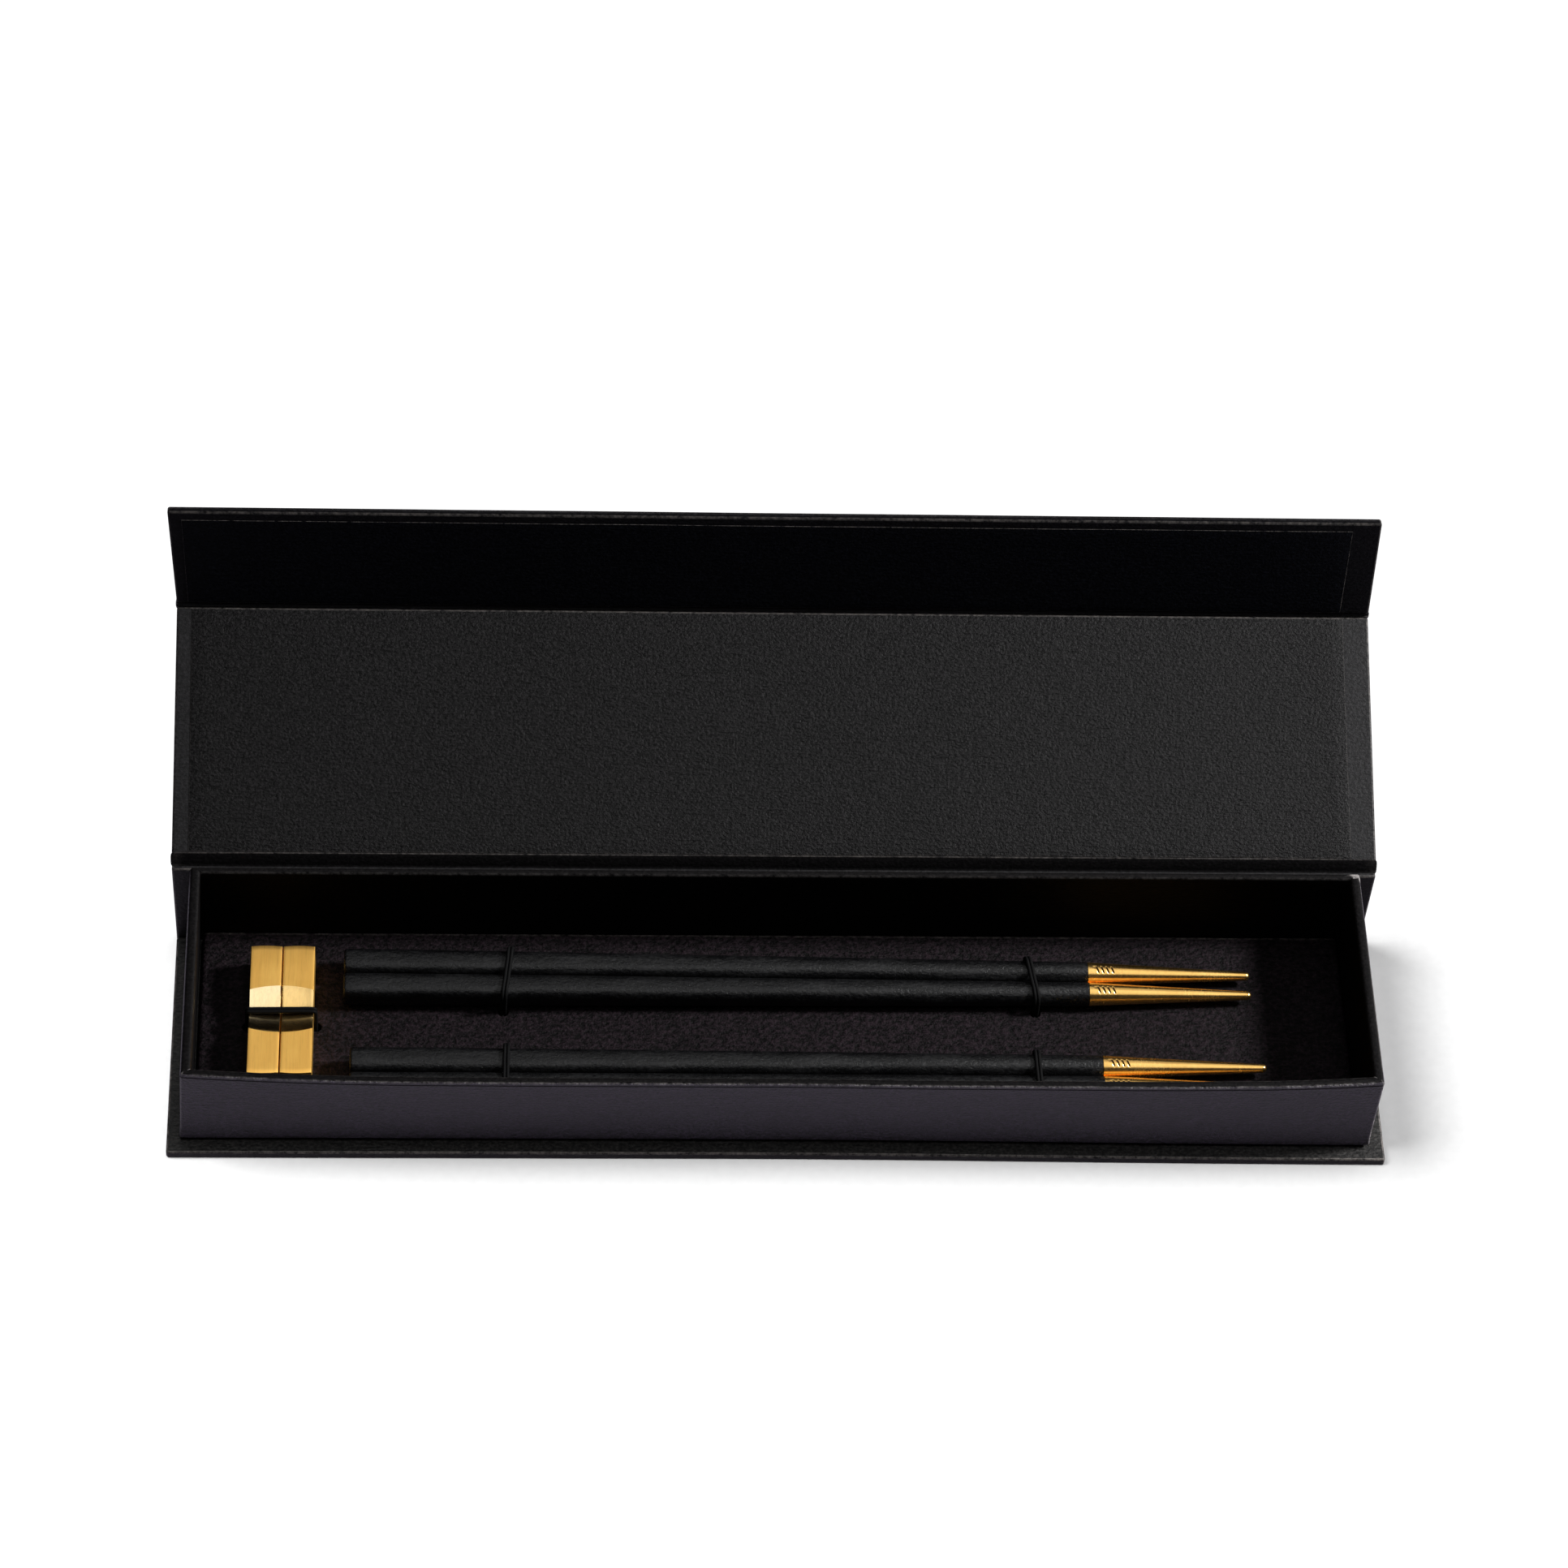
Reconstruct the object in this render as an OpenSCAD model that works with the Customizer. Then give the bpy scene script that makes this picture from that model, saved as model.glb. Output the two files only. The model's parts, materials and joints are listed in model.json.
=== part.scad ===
// Boxed chopstick set. A rigid book-style case with a hinged lid and a magnetic
// flap holds two pairs of metal-tipped chopsticks and two chopstick rests, kept
// in place by elastic loops. Origin: centre of the base's underside. The long
// side runs along X, the spine is at +Y and the case opens towards -Y.

/* [Case] */
// Length of the base, the lid and the flap
case_w = 304; // [290:1:330]
// Depth of the closed case at its base
case_d = 67.5; // [66:0.5:72]
// Thickness of the grey board in the case and the tray walls
board_t = 2; // [1.8:0.1:2.2]
// Thickness of the wrapping and lining paper
paper_t = 0.25; // [0.2:0.01:0.3]
// Width that the wrapping paper is turned in over a board's inner face
turn_in = 15; // [8:1:16]
// Margin between a liner sheet and the edge of its board
liner_margin = 4; // [2:0.5:6]

/* [Lid] */
// Angle of the open lid above the horizontal, leaning to the rear
lid_angle = 23.7; // [0:0.1:90]
// Angle that the flap is folded in from the plane of the lid
flap_fold = 53.8; // [0:0.1:90]
// Length of the lid from its crease to the flap's crease
lid_len = 66.05; // [65.8:0.05:66.2]
// Height of the flap from its crease to its free edge
flap_len = 30.4; // [20:0.1:30.5]
// Height of the lid's crease above the table
crease_z = 33.3; // [33.2:0.1:34]

/* [Tray] */
// Length of the tray
tray_w = 296; // [280:1:298]
// Height of the tray's rim above the table
rim_z = 31.8; // [30:0.1:32]
// Width of the ledge in front of the tray
ledge = 3.7; // [3.6:0.1:3.8]
// Thickness of the tray's floor board
floor_t = 1.5; // [1:0.1:1.6]
// Diameter of the closing magnets
magnet_d = 10; // [6:0.5:12]
// Thickness of the closing magnets
magnet_t = 1.5; // [1:0.1:1.5]
// Distance of each magnet from the middle of the case
magnet_x = 95; // [60:1:120]

/* [Insert] */
// Height of the insert card's top face above the table
deck_z = 7; // [6.8:0.1:8]
// Thickness of the insert card
card_t = 1.2; // [1:0.1:1.3]
// Diameter of one strand of elastic cord
cord_d = 1; // [0.8:0.1:1.1]
// Position of the left elastic loops along the case
loop_left_x = -68; // [-90:1:-40]
// Position of the right elastic loops along the case
loop_right_x = 65; // [40:1:75]

/* [Chopsticks] */
// Whole length of a chopstick
stick_len = 230; // [225:1:235]
// Visible length of the metal tip
tip_len = 41.7; // [30:0.1:60]
// Width of the square handle end
handle_w = 7.3; // [6.5:0.1:7.3]
// Radius of the handle's long edges
handle_r = 1.9; // [1:0.1:3]
// Diameter where the shaft meets the metal tip
ferrule_d = 6.1; // [5:0.1:6.1]
// Diameter at the end of the metal tip
point_d = 2.2; // [1.8:0.1:3]
// Distance between the axes of a pair at the handle end
pair_gap_handle = 7.45; // [7.45:0.05:7.6]
// Distance between the axes of a pair at the tip end
pair_gap_point = 5.95; // [5.95:0.05:6.5]

/* [Rests] */
// Length of a chopstick rest
rest_len = 38.5; // [36:0.5:42]
// Width of a chopstick rest
rest_w = 8; // [7:0.1:8]
// Height of a chopstick rest
rest_h = 8; // [7:0.1:8.5]
// Depth of the scoop at the seam between the rests
scoop_depth = 1.9; // [1.2:0.1:2.5]
// Position of the seam between the rests along the case
rest_x = -124.3; // [-126:0.1:-124]
// Position of the rests across the case
rest_y = 0.7; // [-2:0.1:2]

/* [Hidden] */
$fn = 48;

// colours
paper_black = [0.13, 0.13, 0.14];
liner_black = [0.2, 0.2, 0.21];
board_grey = [0.45, 0.43, 0.4];
card_black = [0.08, 0.08, 0.09];
cord_black = [0.04, 0.04, 0.04];
lacquer_black = [0.06, 0.06, 0.06];
gold = [0.9, 0.66, 0.28];
steel = [0.72, 0.73, 0.75];

// case
wrapped_t = board_t + 2 * paper_t;
base_front = -case_d / 2;
base_rear = case_d / 2 - wrapped_t;
spine_z = crease_z - 1.6;          // top of the spine, below the lid's crease
crease_y = case_d / 2;
lid_below = paper_t + 1.25;        // lid thickness on the outer side of its crease
flap_below = 0.75;                 // flap thickness on the outer side of its crease
crease_gap = 1.2;                  // bare paper between a board's edge and its crease
flap_gap = 1.3;
hinge_play = 0.05;

// tray
tray_front = base_front + ledge;
tray_rear = base_rear - 0.05;
tray_d = tray_rear - tray_front;
tray_mid_y = (tray_front + tray_rear) / 2;
tray_z = wrapped_t;
wall_top = rim_z - paper_t;
floor_top = tray_z + floor_t;
magnet_z = 20;                     // height of the magnets in the closed case
magnet_play = 0.05;
card_play = 0.3;                   // gap between the insert card and the tray walls
card_low = floor_top + 0.05;

// elastic loops
lift = 0.12;                       // gap under what lies on the insert card
cord_play = 0.1;                   // gap between a loop and what it holds
cord_r = cord_d / 2;
hole_d = 2.6;
barb_d = 1.4;
barb_len = 7;
barb_z = deck_z - card_t - 0.06 - barb_d / 2;
cord_foot = barb_z + barb_d / 2 + 0.02;

// chopsticks: handle end of each pair, and where each pair's middle line starts and ends
shaft_len = stick_len - tip_len;
pair_x = [-109, -107];
pair_y_handle = [13.4, -16.4];
pair_y_point = [12.4, -15.7];
tenon_d = 3.2;
tenon_len = 14;
tenon_play = 0.03;
slope = asin((handle_w - ferrule_d) / 2 / shaft_len);
axis_z = deck_z + lift + handle_w / 2;

// rests: the scoop is a barrel lying along X, thickest at the seam
barrel_r = 13.8;
barrel_curve = 53;
end_bow = 0.5;
end_r = (pow(rest_w / 2, 2) + pow(end_bow, 2)) / (2 * end_bow);
seam_gap = 0.1;
rest_top = deck_z + lift + rest_h;
scoop_edge = barrel_curve - sqrt(pow(barrel_curve, 2) - pow(rest_w, 2));

function to_hundredth(v) = round(v * 100) / 100;
function pair_of(i) = i < 2 ? 0 : 1;
function side_of(i) = i % 2 == 0 ? 1 : -1;
function handle_y(i) = pair_y_handle[pair_of(i)] + side_of(i) * pair_gap_handle / 2;
function point_y(i) = pair_y_point[pair_of(i)] + side_of(i) * pair_gap_point / 2;
function stick_yaw(i) = asin((point_y(i) - handle_y(i)) / stick_len);
// fraction of the shaft's length at a place x along the case
function along(i, x) = (x - pair_x[pair_of(i)]) / shaft_len;
function axis_y(i, x) = handle_y(i)
    + (point_y(i) - handle_y(i)) * (x - pair_x[pair_of(i)]) / stick_len;
function shaft_w(i, x) = handle_w + (ferrule_d - handle_w) * along(i, x);

// ---- frames that the moving boards are drawn in ----

// Y runs out along the lid from its crease, Z points to the lid's inner side
module lid_frame() {
    translate([0, crease_y, crease_z])
        rotate([lid_angle, 0, 0])
            children();
}

// Y runs out along the flap from its crease, Z points to the flap's inner side
module flap_frame() {
    lid_frame()
        translate([0, lid_len, 0])
            rotate([flap_fold, 0, 0])
                children();
}

// ---- shapes that repeat ----

// a block of the case's length, from y0 to y1 and z0 to z1, drawn in by a margin
module slab(y0, y1, z0, z1, margin = 0) {
    translate([-case_w / 2 + margin, y0 + margin, z0])
        cube([case_w - 2 * margin, y1 - y0 - 2 * margin, z1 - z0]);
}

// paper round a board that lies from y0 to y1 with its outer face at z0
module wrap_round(y0, y1, z0) {
    difference() {
        slab(y0, y1, z0, z0 + wrapped_t);
        slab(y0, y1, z0 + paper_t, z0 + paper_t + board_t, paper_t);
        slab(y0, y1, z0 + board_t, z0 + wrapped_t + 1, min(turn_in, (y1 - y0) / 3));
    }
}

// a strip of bonded hinge paper along the crease, swept along a line of [y, z] points
module paper_strip(line, t) {
    n = len(line);
    way = [for (i = [0:n - 1])
        let (d = line[min(i + 1, n - 1)] - line[max(i - 1, 0)])
        [-d[1], d[0]] / norm(d)];
    outline = concat([for (i = [0:n - 1]) line[i] + way[i] * t / 2],
                     [for (i = [n - 1:-1:0]) line[i] - way[i] * t / 2]);
    translate([-case_w / 2 + paper_t, 0, 0])
        rotate([90, 0, 90])
            linear_extrude(case_w - 2 * paper_t)
                polygon(outline);
}

// a flat disc magnet with its face in the XY plane
module disc(play = 0, extra = 0) {
    for (side = [-1, 1])
        translate([side * magnet_x, 0, 0])
            cylinder(d = magnet_d + 2 * play, h = magnet_t + extra);
}

// a quarter turn of cord from straight up to level, centred on the bend's middle
module cord_bend(bend) {
    rotate([90, 0, 90])
        rotate_extrude(angle = 90)
            translate([bend, 0])
                circle(d = cord_d, $fn = 24);
}

// one strand, standing in the YZ plane: up from the foot, across at the top and down
module cord(from, to, foot, top, bend) {
    for (y = [from, to])
        translate([0, y, foot])
            cylinder(d = cord_d, h = top - bend - foot, $fn = 24);
    translate([0, to - bend, top - bend])
        cord_bend(bend);
    translate([0, from + bend, top - bend])
        mirror([0, 1, 0])
            cord_bend(bend);
    translate([0, from + bend, top])
        rotate([-90, 0, 0])
            cylinder(d = cord_d, h = to - from - 2 * bend, $fn = 24);
}

// two strands of cord side by side
module double_cord(from, to, top, bend) {
    for (side = [-1, 1])
        translate([side * (cord_r + 0.02), 0, 0])
            cord(from, to, cord_foot, top, bend);
}

// where the loop over chopsticks i and i + 1 goes down through the card, front and rear
function loop_feet(i, x) = [
    to_hundredth(axis_y(i + 1, x) - shaft_w(i + 1, x) / 2 - cord_play - cord_r),
    to_hundredth(axis_y(i, x) + shaft_w(i, x) / 2 + cord_play + cord_r)];

// where the loop over the rests goes down through the card, left and right
rest_feet = [rest_x - rest_w - cord_play - cord_r, rest_x + rest_w + cord_play + cord_r];

// elastic loop over the pair of chopsticks i and i + 1
module stick_loop(i, x, bend) {
    feet = loop_feet(i, x);
    top = to_hundredth(deck_z + lift + shaft_w(i, x) + cord_play + cord_r);
    color(cord_black)
        translate([x, 0, 0])
            double_cord(feet[0], feet[1], top, bend);
}

// all the places where a cord goes through the insert card
cord_holes = concat(
    [for (i = [0, 2]) for (x = [loop_left_x, loop_right_x])
        for (y = loop_feet(i, x)) [x, y]],
    [for (x = rest_feet) [x, rest_y]]);

// puts a chopstick's own frame, X along it from the handle end, where it lies
module stick_frame(i) {
    translate([pair_x[pair_of(i)], handle_y(i), axis_z])
        rotate([0, slope, stick_yaw(i)])
            children();
}

// shaft: square with rounded edges at the handle, round where the metal tip starts
module shaft(i) {
    inner = handle_w / 2 - handle_r;
    color(lacquer_black)
        stick_frame(i)
            difference() {
                hull() {
                    for (y = [-inner, inner])
                        for (z = [-inner, inner])
                            translate([0, y, z])
                                rotate([0, 90, 0])
                                    cylinder(r = handle_r, h = 1, $fn = 32);
                    translate([shaft_len - 1, 0, 0])
                        rotate([0, 90, 0])
                            cylinder(d = ferrule_d, h = 1, $fn = 32);
                }
                translate([shaft_len - tenon_len - 0.5, 0, 0])
                    rotate([0, 90, 0])
                        cylinder(d = tenon_d + 2 * tenon_play, h = tenon_len + 1);
            }
}

// metal tip: a slim cone with a rounded point, a tenon and four short notches
module tip(i) {
    point_r = point_d / 2;
    color(gold)
        stick_frame(i)
            difference() {
                translate([shaft_len, 0, 0])
                    rotate([0, 90, 0])
                        rotate_extrude()
                            union() {
                                polygon([[0, 0], [ferrule_d / 2, 0],
                                         [point_r, tip_len - point_r],
                                         [0, tip_len - point_r]]);
                                intersection() {
                                    translate([0, tip_len - point_r])
                                        circle(point_r);
                                    square([point_r, tip_len]);
                                }
                                translate([0, -tenon_len])
                                    square([tenon_d / 2, tenon_len + 1]);
                            }
                for (n = [0:3])
                    translate([shaft_len + 3 + 1.5 * n, 0.3, ferrule_d / 2 - 0.55])
                        cube([0.4, 2.2, 1]);
            }
}

// half of the scooped pair of rests: side -1 is the left one, 1 the right one
module rest_bar(side) {
    color(gold)
        translate([rest_x, rest_y, deck_z + lift])
            difference() {
                translate([side * (rest_w + seam_gap / 2) / 2, 0, 0])
                    linear_extrude(rest_h)
                        rest_outline(rest_w - seam_gap / 2);
                translate([0, 0, rest_h - scoop_depth + barrel_r])
                    rotate([0, 90, 0])
                        rotate_extrude()
                            intersection() {
                                translate([barrel_r - barrel_curve, 0])
                                    circle(barrel_curve, $fn = 96);
                                translate([0, -rest_w - 2])
                                    square([barrel_r, 2 * rest_w + 4]);
                            }
            }
}

// outline of a rest from above: a bar with gently bowed ends
module rest_outline(w) {
    square([w, rest_len - 2 * end_bow], center = true);
    for (end = [-1, 1])
        intersection() {
            translate([0, end * (rest_len / 2 - end_r)])
                circle(end_r, $fn = 96);
            translate([0, end * (rest_len / 2 - 2)])
                square([w, 4], center = true);
        }
}

// ---- case ----

module base_board() {
    color(board_grey)
        slab(base_front, base_rear, paper_t, paper_t + board_t, paper_t);
}

module base_wrap() {
    color(paper_black)
        wrap_round(base_front, base_rear, 0);
}

// the spine stands behind the base and the tray; its frame has Z pointing forwards
module spine_frame() {
    translate([0, case_d / 2, 0])
        rotate([90, 0, 0])
            children();
}

module spine_board() {
    color(board_grey)
        spine_frame()
            slab(0, spine_z, paper_t, paper_t + board_t, paper_t);
}

module spine_wrap() {
    color(paper_black)
        spine_frame()
            wrap_round(0, spine_z, 0);
}

// ---- lid ----

lid_from = crease_gap;
lid_to = lid_len - crease_gap;
lid_inner = wrapped_t - lid_below;

module lid_board() {
    color(board_grey)
        lid_frame()
            slab(lid_from, lid_to, paper_t - lid_below, paper_t + board_t - lid_below, paper_t);
}

module lid_wrap() {
    color(paper_black)
        lid_frame()
            wrap_round(lid_from, lid_to, -lid_below);
}

module lid_liner() {
    color(liner_black)
        lid_frame()
            translate([-case_w / 2 + liner_margin, lid_from + 0.2, lid_inner])
                cube([case_w - 2 * liner_margin, lid_to - lid_from - 0.4, paper_t - 0.05]);
}

// bonded paper bridging the gap between the spine and the lid, with a small knuckle
module lid_hinge() {
    end_y = crease_gap - hinge_play;
    c = cos(lid_angle);
    s = sin(lid_angle);
    end_a = [crease_y + (end_y - 0.35) * c, crease_z + (end_y - 0.35) * s];
    end_b = [crease_y + end_y * c, crease_z + end_y * s];
    color(paper_black)
        paper_strip([[crease_y - 0.25, spine_z + 0.03],
                     [crease_y - 0.25, spine_z + 1.05],
                     [crease_y + 0.1, spine_z + 1.6],
                     end_a, end_b], 0.4);
}

// ---- flap ----

flap_inner = wrapped_t - flap_below;

module flap_board() {
    color(board_grey)
        flap_frame()
            difference() {
                slab(flap_gap, flap_len, paper_t - flap_below,
                     paper_t + board_t - flap_below, paper_t);
                translate([0, crease_z - magnet_z, flap_inner - paper_t - magnet_t - magnet_play])
                    disc(magnet_play, 1);
            }
}

module flap_wrap() {
    color(paper_black)
        flap_frame()
            wrap_round(flap_gap, flap_len, -flap_below);
}

module flap_liner() {
    color(liner_black)
        flap_frame()
            translate([-case_w / 2 + liner_margin, flap_gap + 0.2, flap_inner])
                cube([case_w - 2 * liner_margin,
                      flap_len - flap_gap - 0.2 - liner_margin, paper_t - 0.05]);
}

module flap_magnets() {
    color(steel)
        flap_frame()
            translate([0, crease_z - magnet_z, flap_inner - paper_t - magnet_t])
                disc();
}

// bonded paper bridging the gap between the lid and the flap
module flap_hinge() {
    c = cos(flap_fold);
    s = sin(flap_fold);
    start = crease_gap - hinge_play;
    end = flap_gap - hinge_play;
    color(paper_black)
        lid_frame()
            translate([0, lid_len, 0])
                paper_strip([[-start, -0.3], [-0.35, -0.3], [0.25, 0.05],
                             [end * c - 0.1 * s, end * s + 0.1 * c]], 0.4);
}

// ---- tray ----

// a block inside the tray, drawn in from the tray's outside by a margin
module tray_block(z0, z1, margin) {
    translate([-tray_w / 2 + margin, tray_front + margin, z0])
        cube([tray_w - 2 * margin, tray_d - 2 * margin, z1 - z0]);
}

module tray_floor() {
    color(board_grey)
        tray_block(tray_z, floor_top, wrapped_t);
}

// long wall board with its outer face at y0
module long_wall(y0) {
    translate([-tray_w / 2 + paper_t, y0, tray_z])
        cube([tray_w - 2 * paper_t, board_t, wall_top - tray_z]);
}

// short wall board with its outer face at x0, between the long walls
module short_wall(x0) {
    translate([x0, tray_front + paper_t + board_t, tray_z])
        cube([board_t, tray_d - 2 * (paper_t + board_t), wall_top - tray_z]);
}

module tray_wall_front() {
    color(board_grey)
        difference() {
            long_wall(tray_front + paper_t);
            translate([0, tray_front + paper_t + magnet_t + magnet_play, magnet_z])
                rotate([90, 0, 0])
                    disc(magnet_play, 1);
        }
}

module tray_wall_rear() {
    color(board_grey)
        long_wall(tray_rear - paper_t - board_t);
}

module tray_wall_left() {
    color(board_grey)
        short_wall(-tray_w / 2 + paper_t);
}

module tray_wall_right() {
    color(board_grey)
        short_wall(tray_w / 2 - paper_t - board_t);
}

// paper over the outside, the rim and the inside of the walls
module tray_wrap() {
    color(paper_black)
        difference() {
            tray_block(tray_z, rim_z, 0);
            tray_block(tray_z - 1, rim_z + 1, wrapped_t);
            difference() {
                tray_block(tray_z - 1, wall_top, paper_t);
                tray_block(tray_z - 2, wall_top + 1, paper_t + board_t);
            }
            tray_block(tray_z - 1, floor_top + 0.02, paper_t + board_t);
        }
}

module tray_magnets() {
    color(steel)
        translate([0, tray_front + paper_t + magnet_t, magnet_z])
            rotate([90, 0, 0])
                disc();
}

// ---- insert and elastic ----

// folded card: a flat top with a flange turned down along each side
module insert_card() {
    margin = wrapped_t + card_play;
    color(card_black)
        difference() {
            tray_block(card_low, deck_z, margin);
            tray_block(card_low - 1, deck_z - card_t, margin + card_t);
            for (p = cord_holes)
                translate([p[0], p[1], deck_z - card_t - 1])
                    cylinder(d = hole_d, h = card_t + 2);
        }
}

// small metal bars that stop the cord ends from pulling back through the card
module elastic_barbs() {
    stick_holes = len(cord_holes) - len(rest_feet);
    color(steel)
        for (k = [0:len(cord_holes) - 1])
            translate([cord_holes[k][0], cord_holes[k][1], barb_z])
                rotate([0, 0, k < stick_holes ? 0 : 90])
                    rotate([0, 90, 0])
                        cylinder(d = barb_d, h = barb_len, center = true);
}

module loop_rear_left() {
    stick_loop(0, loop_left_x, 2.3);
}

module loop_rear_right() {
    stick_loop(0, loop_right_x, 2.9);
}

module loop_front_left() {
    stick_loop(2, loop_left_x, 2.3);
}

module loop_front_right() {
    stick_loop(2, loop_right_x, 2.9);
}

module loop_rests() {
    top = to_hundredth(rest_top - scoop_depth + scoop_edge + cord_play + cord_r);
    color(cord_black)
        translate([0, rest_y, 0])
            rotate([0, 0, -90])
                double_cord(rest_feet[0], rest_feet[1], top, 0.7);
}

// ---- chopsticks and rests ----

module stick_1_shaft() { shaft(0); }
module stick_1_tip() { tip(0); }
module stick_2_shaft() { shaft(1); }
module stick_2_tip() { tip(1); }
module stick_3_shaft() { shaft(2); }
module stick_3_tip() { tip(2); }
module stick_4_shaft() { shaft(3); }
module stick_4_tip() { tip(3); }
module rest_left() { rest_bar(-1); }
module rest_right() { rest_bar(1); }

base_board();
base_wrap();
spine_board();
spine_wrap();
lid_board();
lid_wrap();
lid_liner();
lid_hinge();
flap_board();
flap_wrap();
flap_liner();
flap_hinge();
flap_magnets();
tray_floor();
tray_wall_front();
tray_wall_rear();
tray_wall_left();
tray_wall_right();
tray_wrap();
tray_magnets();
insert_card();
elastic_barbs();
loop_rear_left();
loop_rear_right();
loop_front_left();
loop_front_right();
loop_rests();
stick_1_shaft();
stick_1_tip();
stick_2_shaft();
stick_2_tip();
stick_3_shaft();
stick_3_tip();
stick_4_shaft();
stick_4_tip();
rest_left();
rest_right();
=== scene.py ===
import json
from math import asin, atan2, copysign, cos, exp, hypot, pi, radians, sin, sqrt, tan

import bpy
import numpy as np
from mathutils import Matrix, Vector, geometry, noise

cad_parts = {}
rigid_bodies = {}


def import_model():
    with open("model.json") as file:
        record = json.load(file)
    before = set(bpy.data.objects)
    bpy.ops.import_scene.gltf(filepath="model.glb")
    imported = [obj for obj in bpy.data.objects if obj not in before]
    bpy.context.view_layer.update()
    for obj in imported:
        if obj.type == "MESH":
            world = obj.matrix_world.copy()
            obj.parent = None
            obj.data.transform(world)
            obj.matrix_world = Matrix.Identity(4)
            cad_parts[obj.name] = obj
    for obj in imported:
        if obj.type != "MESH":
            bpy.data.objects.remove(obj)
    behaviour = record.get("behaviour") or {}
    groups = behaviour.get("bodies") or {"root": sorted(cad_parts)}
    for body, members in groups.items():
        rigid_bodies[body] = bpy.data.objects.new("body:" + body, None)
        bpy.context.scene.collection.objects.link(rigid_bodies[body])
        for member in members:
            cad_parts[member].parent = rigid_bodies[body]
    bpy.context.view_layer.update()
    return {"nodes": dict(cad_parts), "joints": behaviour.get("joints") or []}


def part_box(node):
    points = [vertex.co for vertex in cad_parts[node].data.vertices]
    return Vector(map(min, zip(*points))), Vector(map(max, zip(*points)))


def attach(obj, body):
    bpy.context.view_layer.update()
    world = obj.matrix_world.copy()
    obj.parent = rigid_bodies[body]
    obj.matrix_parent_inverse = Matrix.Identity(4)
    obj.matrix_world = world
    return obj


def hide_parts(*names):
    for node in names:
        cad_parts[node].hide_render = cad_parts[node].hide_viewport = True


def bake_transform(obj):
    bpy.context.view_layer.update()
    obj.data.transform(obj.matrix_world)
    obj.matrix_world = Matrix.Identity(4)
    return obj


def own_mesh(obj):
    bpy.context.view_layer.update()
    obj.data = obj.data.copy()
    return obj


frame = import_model()

MM = 0.001
JOINTS = {j["name"]: j for j in frame["joints"]}
NODES = frame["nodes"]


def box_mm(node):
    """Lowest and highest corner of a CAD node, in millimetres."""
    lo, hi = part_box(node)
    return np.array(lo) / MM, np.array(hi) / MM


# ---- materials

# How deep each surface's bump is, in metres.
PAPER_DEPTH, BOARD_DEPTH, COAT_DEPTH, METAL_DEPTH, YARN_DEPTH = 0.00042, 0.0002, 0.00036, 0.00003, 0.00008


def new_material(name):
    mat = bpy.data.materials.new(name)
    mat.use_nodes = True
    return mat, mat.node_tree


def feed(tree, value, socket):
    """Gives an input another node's output, a number or a colour; None leaves it as it is."""
    if hasattr(value, "is_output"):
        tree.links.new(value, socket)
    elif value is not None:
        socket.default_value = (*value, 1) if isinstance(value, tuple) else value


def noise_tex(tree, scale, detail, rough, stretch=(1, 1, 1), turn=(0, 0, 0)):
    """Noise in stretched object coordinates, so that the pattern stays on its piece."""
    mp = tree.nodes.new("ShaderNodeMapping")
    mp.inputs["Scale"].default_value = stretch
    mp.inputs["Rotation"].default_value = turn
    feed(tree, tree.nodes.new("ShaderNodeTexCoord").outputs["Object"], mp.inputs["Vector"])
    n = tree.nodes.new("ShaderNodeTexNoise")
    n.inputs["Scale"].default_value = scale
    n.inputs["Detail"].default_value = detail
    n.inputs["Roughness"].default_value = rough
    feed(tree, mp.outputs["Vector"], n.inputs["Vector"])
    return n.outputs["Fac"]


def attribute(tree, name):
    """A value that make() stored on the mesh's points."""
    node = tree.nodes.new("ShaderNodeAttribute")
    node.attribute_name = name
    return node.outputs["Fac"]


def ramp(tree, fac, stops):
    r = tree.nodes.new("ShaderNodeValToRGB")
    els = r.color_ramp.elements
    while len(els) < len(stops):
        els.new(0.5)
    for e, (pos, col) in zip(els, stops):
        e.position = pos
        e.color = (*col, 1)
    feed(tree, fac, r.inputs["Fac"])
    return r.outputs["Color"]


def mix(tree, fac, a, b, kind="MIX"):
    m = tree.nodes.new("ShaderNodeMix")
    m.data_type = "RGBA"
    m.blend_type = kind
    for k, value in ((0, fac), (6, a), (7, b)):
        feed(tree, value, m.inputs[k])
    return m.outputs[2]


def calc(tree, op, a, b, c=None, clamp=False):
    m = tree.nodes.new("ShaderNodeMath")
    m.operation = op
    m.use_clamp = clamp
    for value, socket in zip((a, b, c), m.inputs):
        feed(tree, value, socket)
    return m.outputs[0]


def bump(tree, height, strength, distance):
    b = tree.nodes.new("ShaderNodeBump")
    b.inputs["Strength"].default_value = strength
    b.inputs["Distance"].default_value = distance
    feed(tree, height, b.inputs["Height"])
    feed(tree, b.outputs["Normal"], tree.nodes["Principled BSDF"].inputs["Normal"])


def surface(tree, colour, roughness, specular=None, metallic=None):
    for key, value in (("Base Color", colour), ("Roughness", roughness),
                       ("Specular IOR Level", specular), ("Metallic", metallic)):
        feed(tree, value, tree.nodes["Principled BSDF"].inputs[key])


def spread(colour, k):
    return tuple(min(1.0, c * k) for c in colour)


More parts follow.
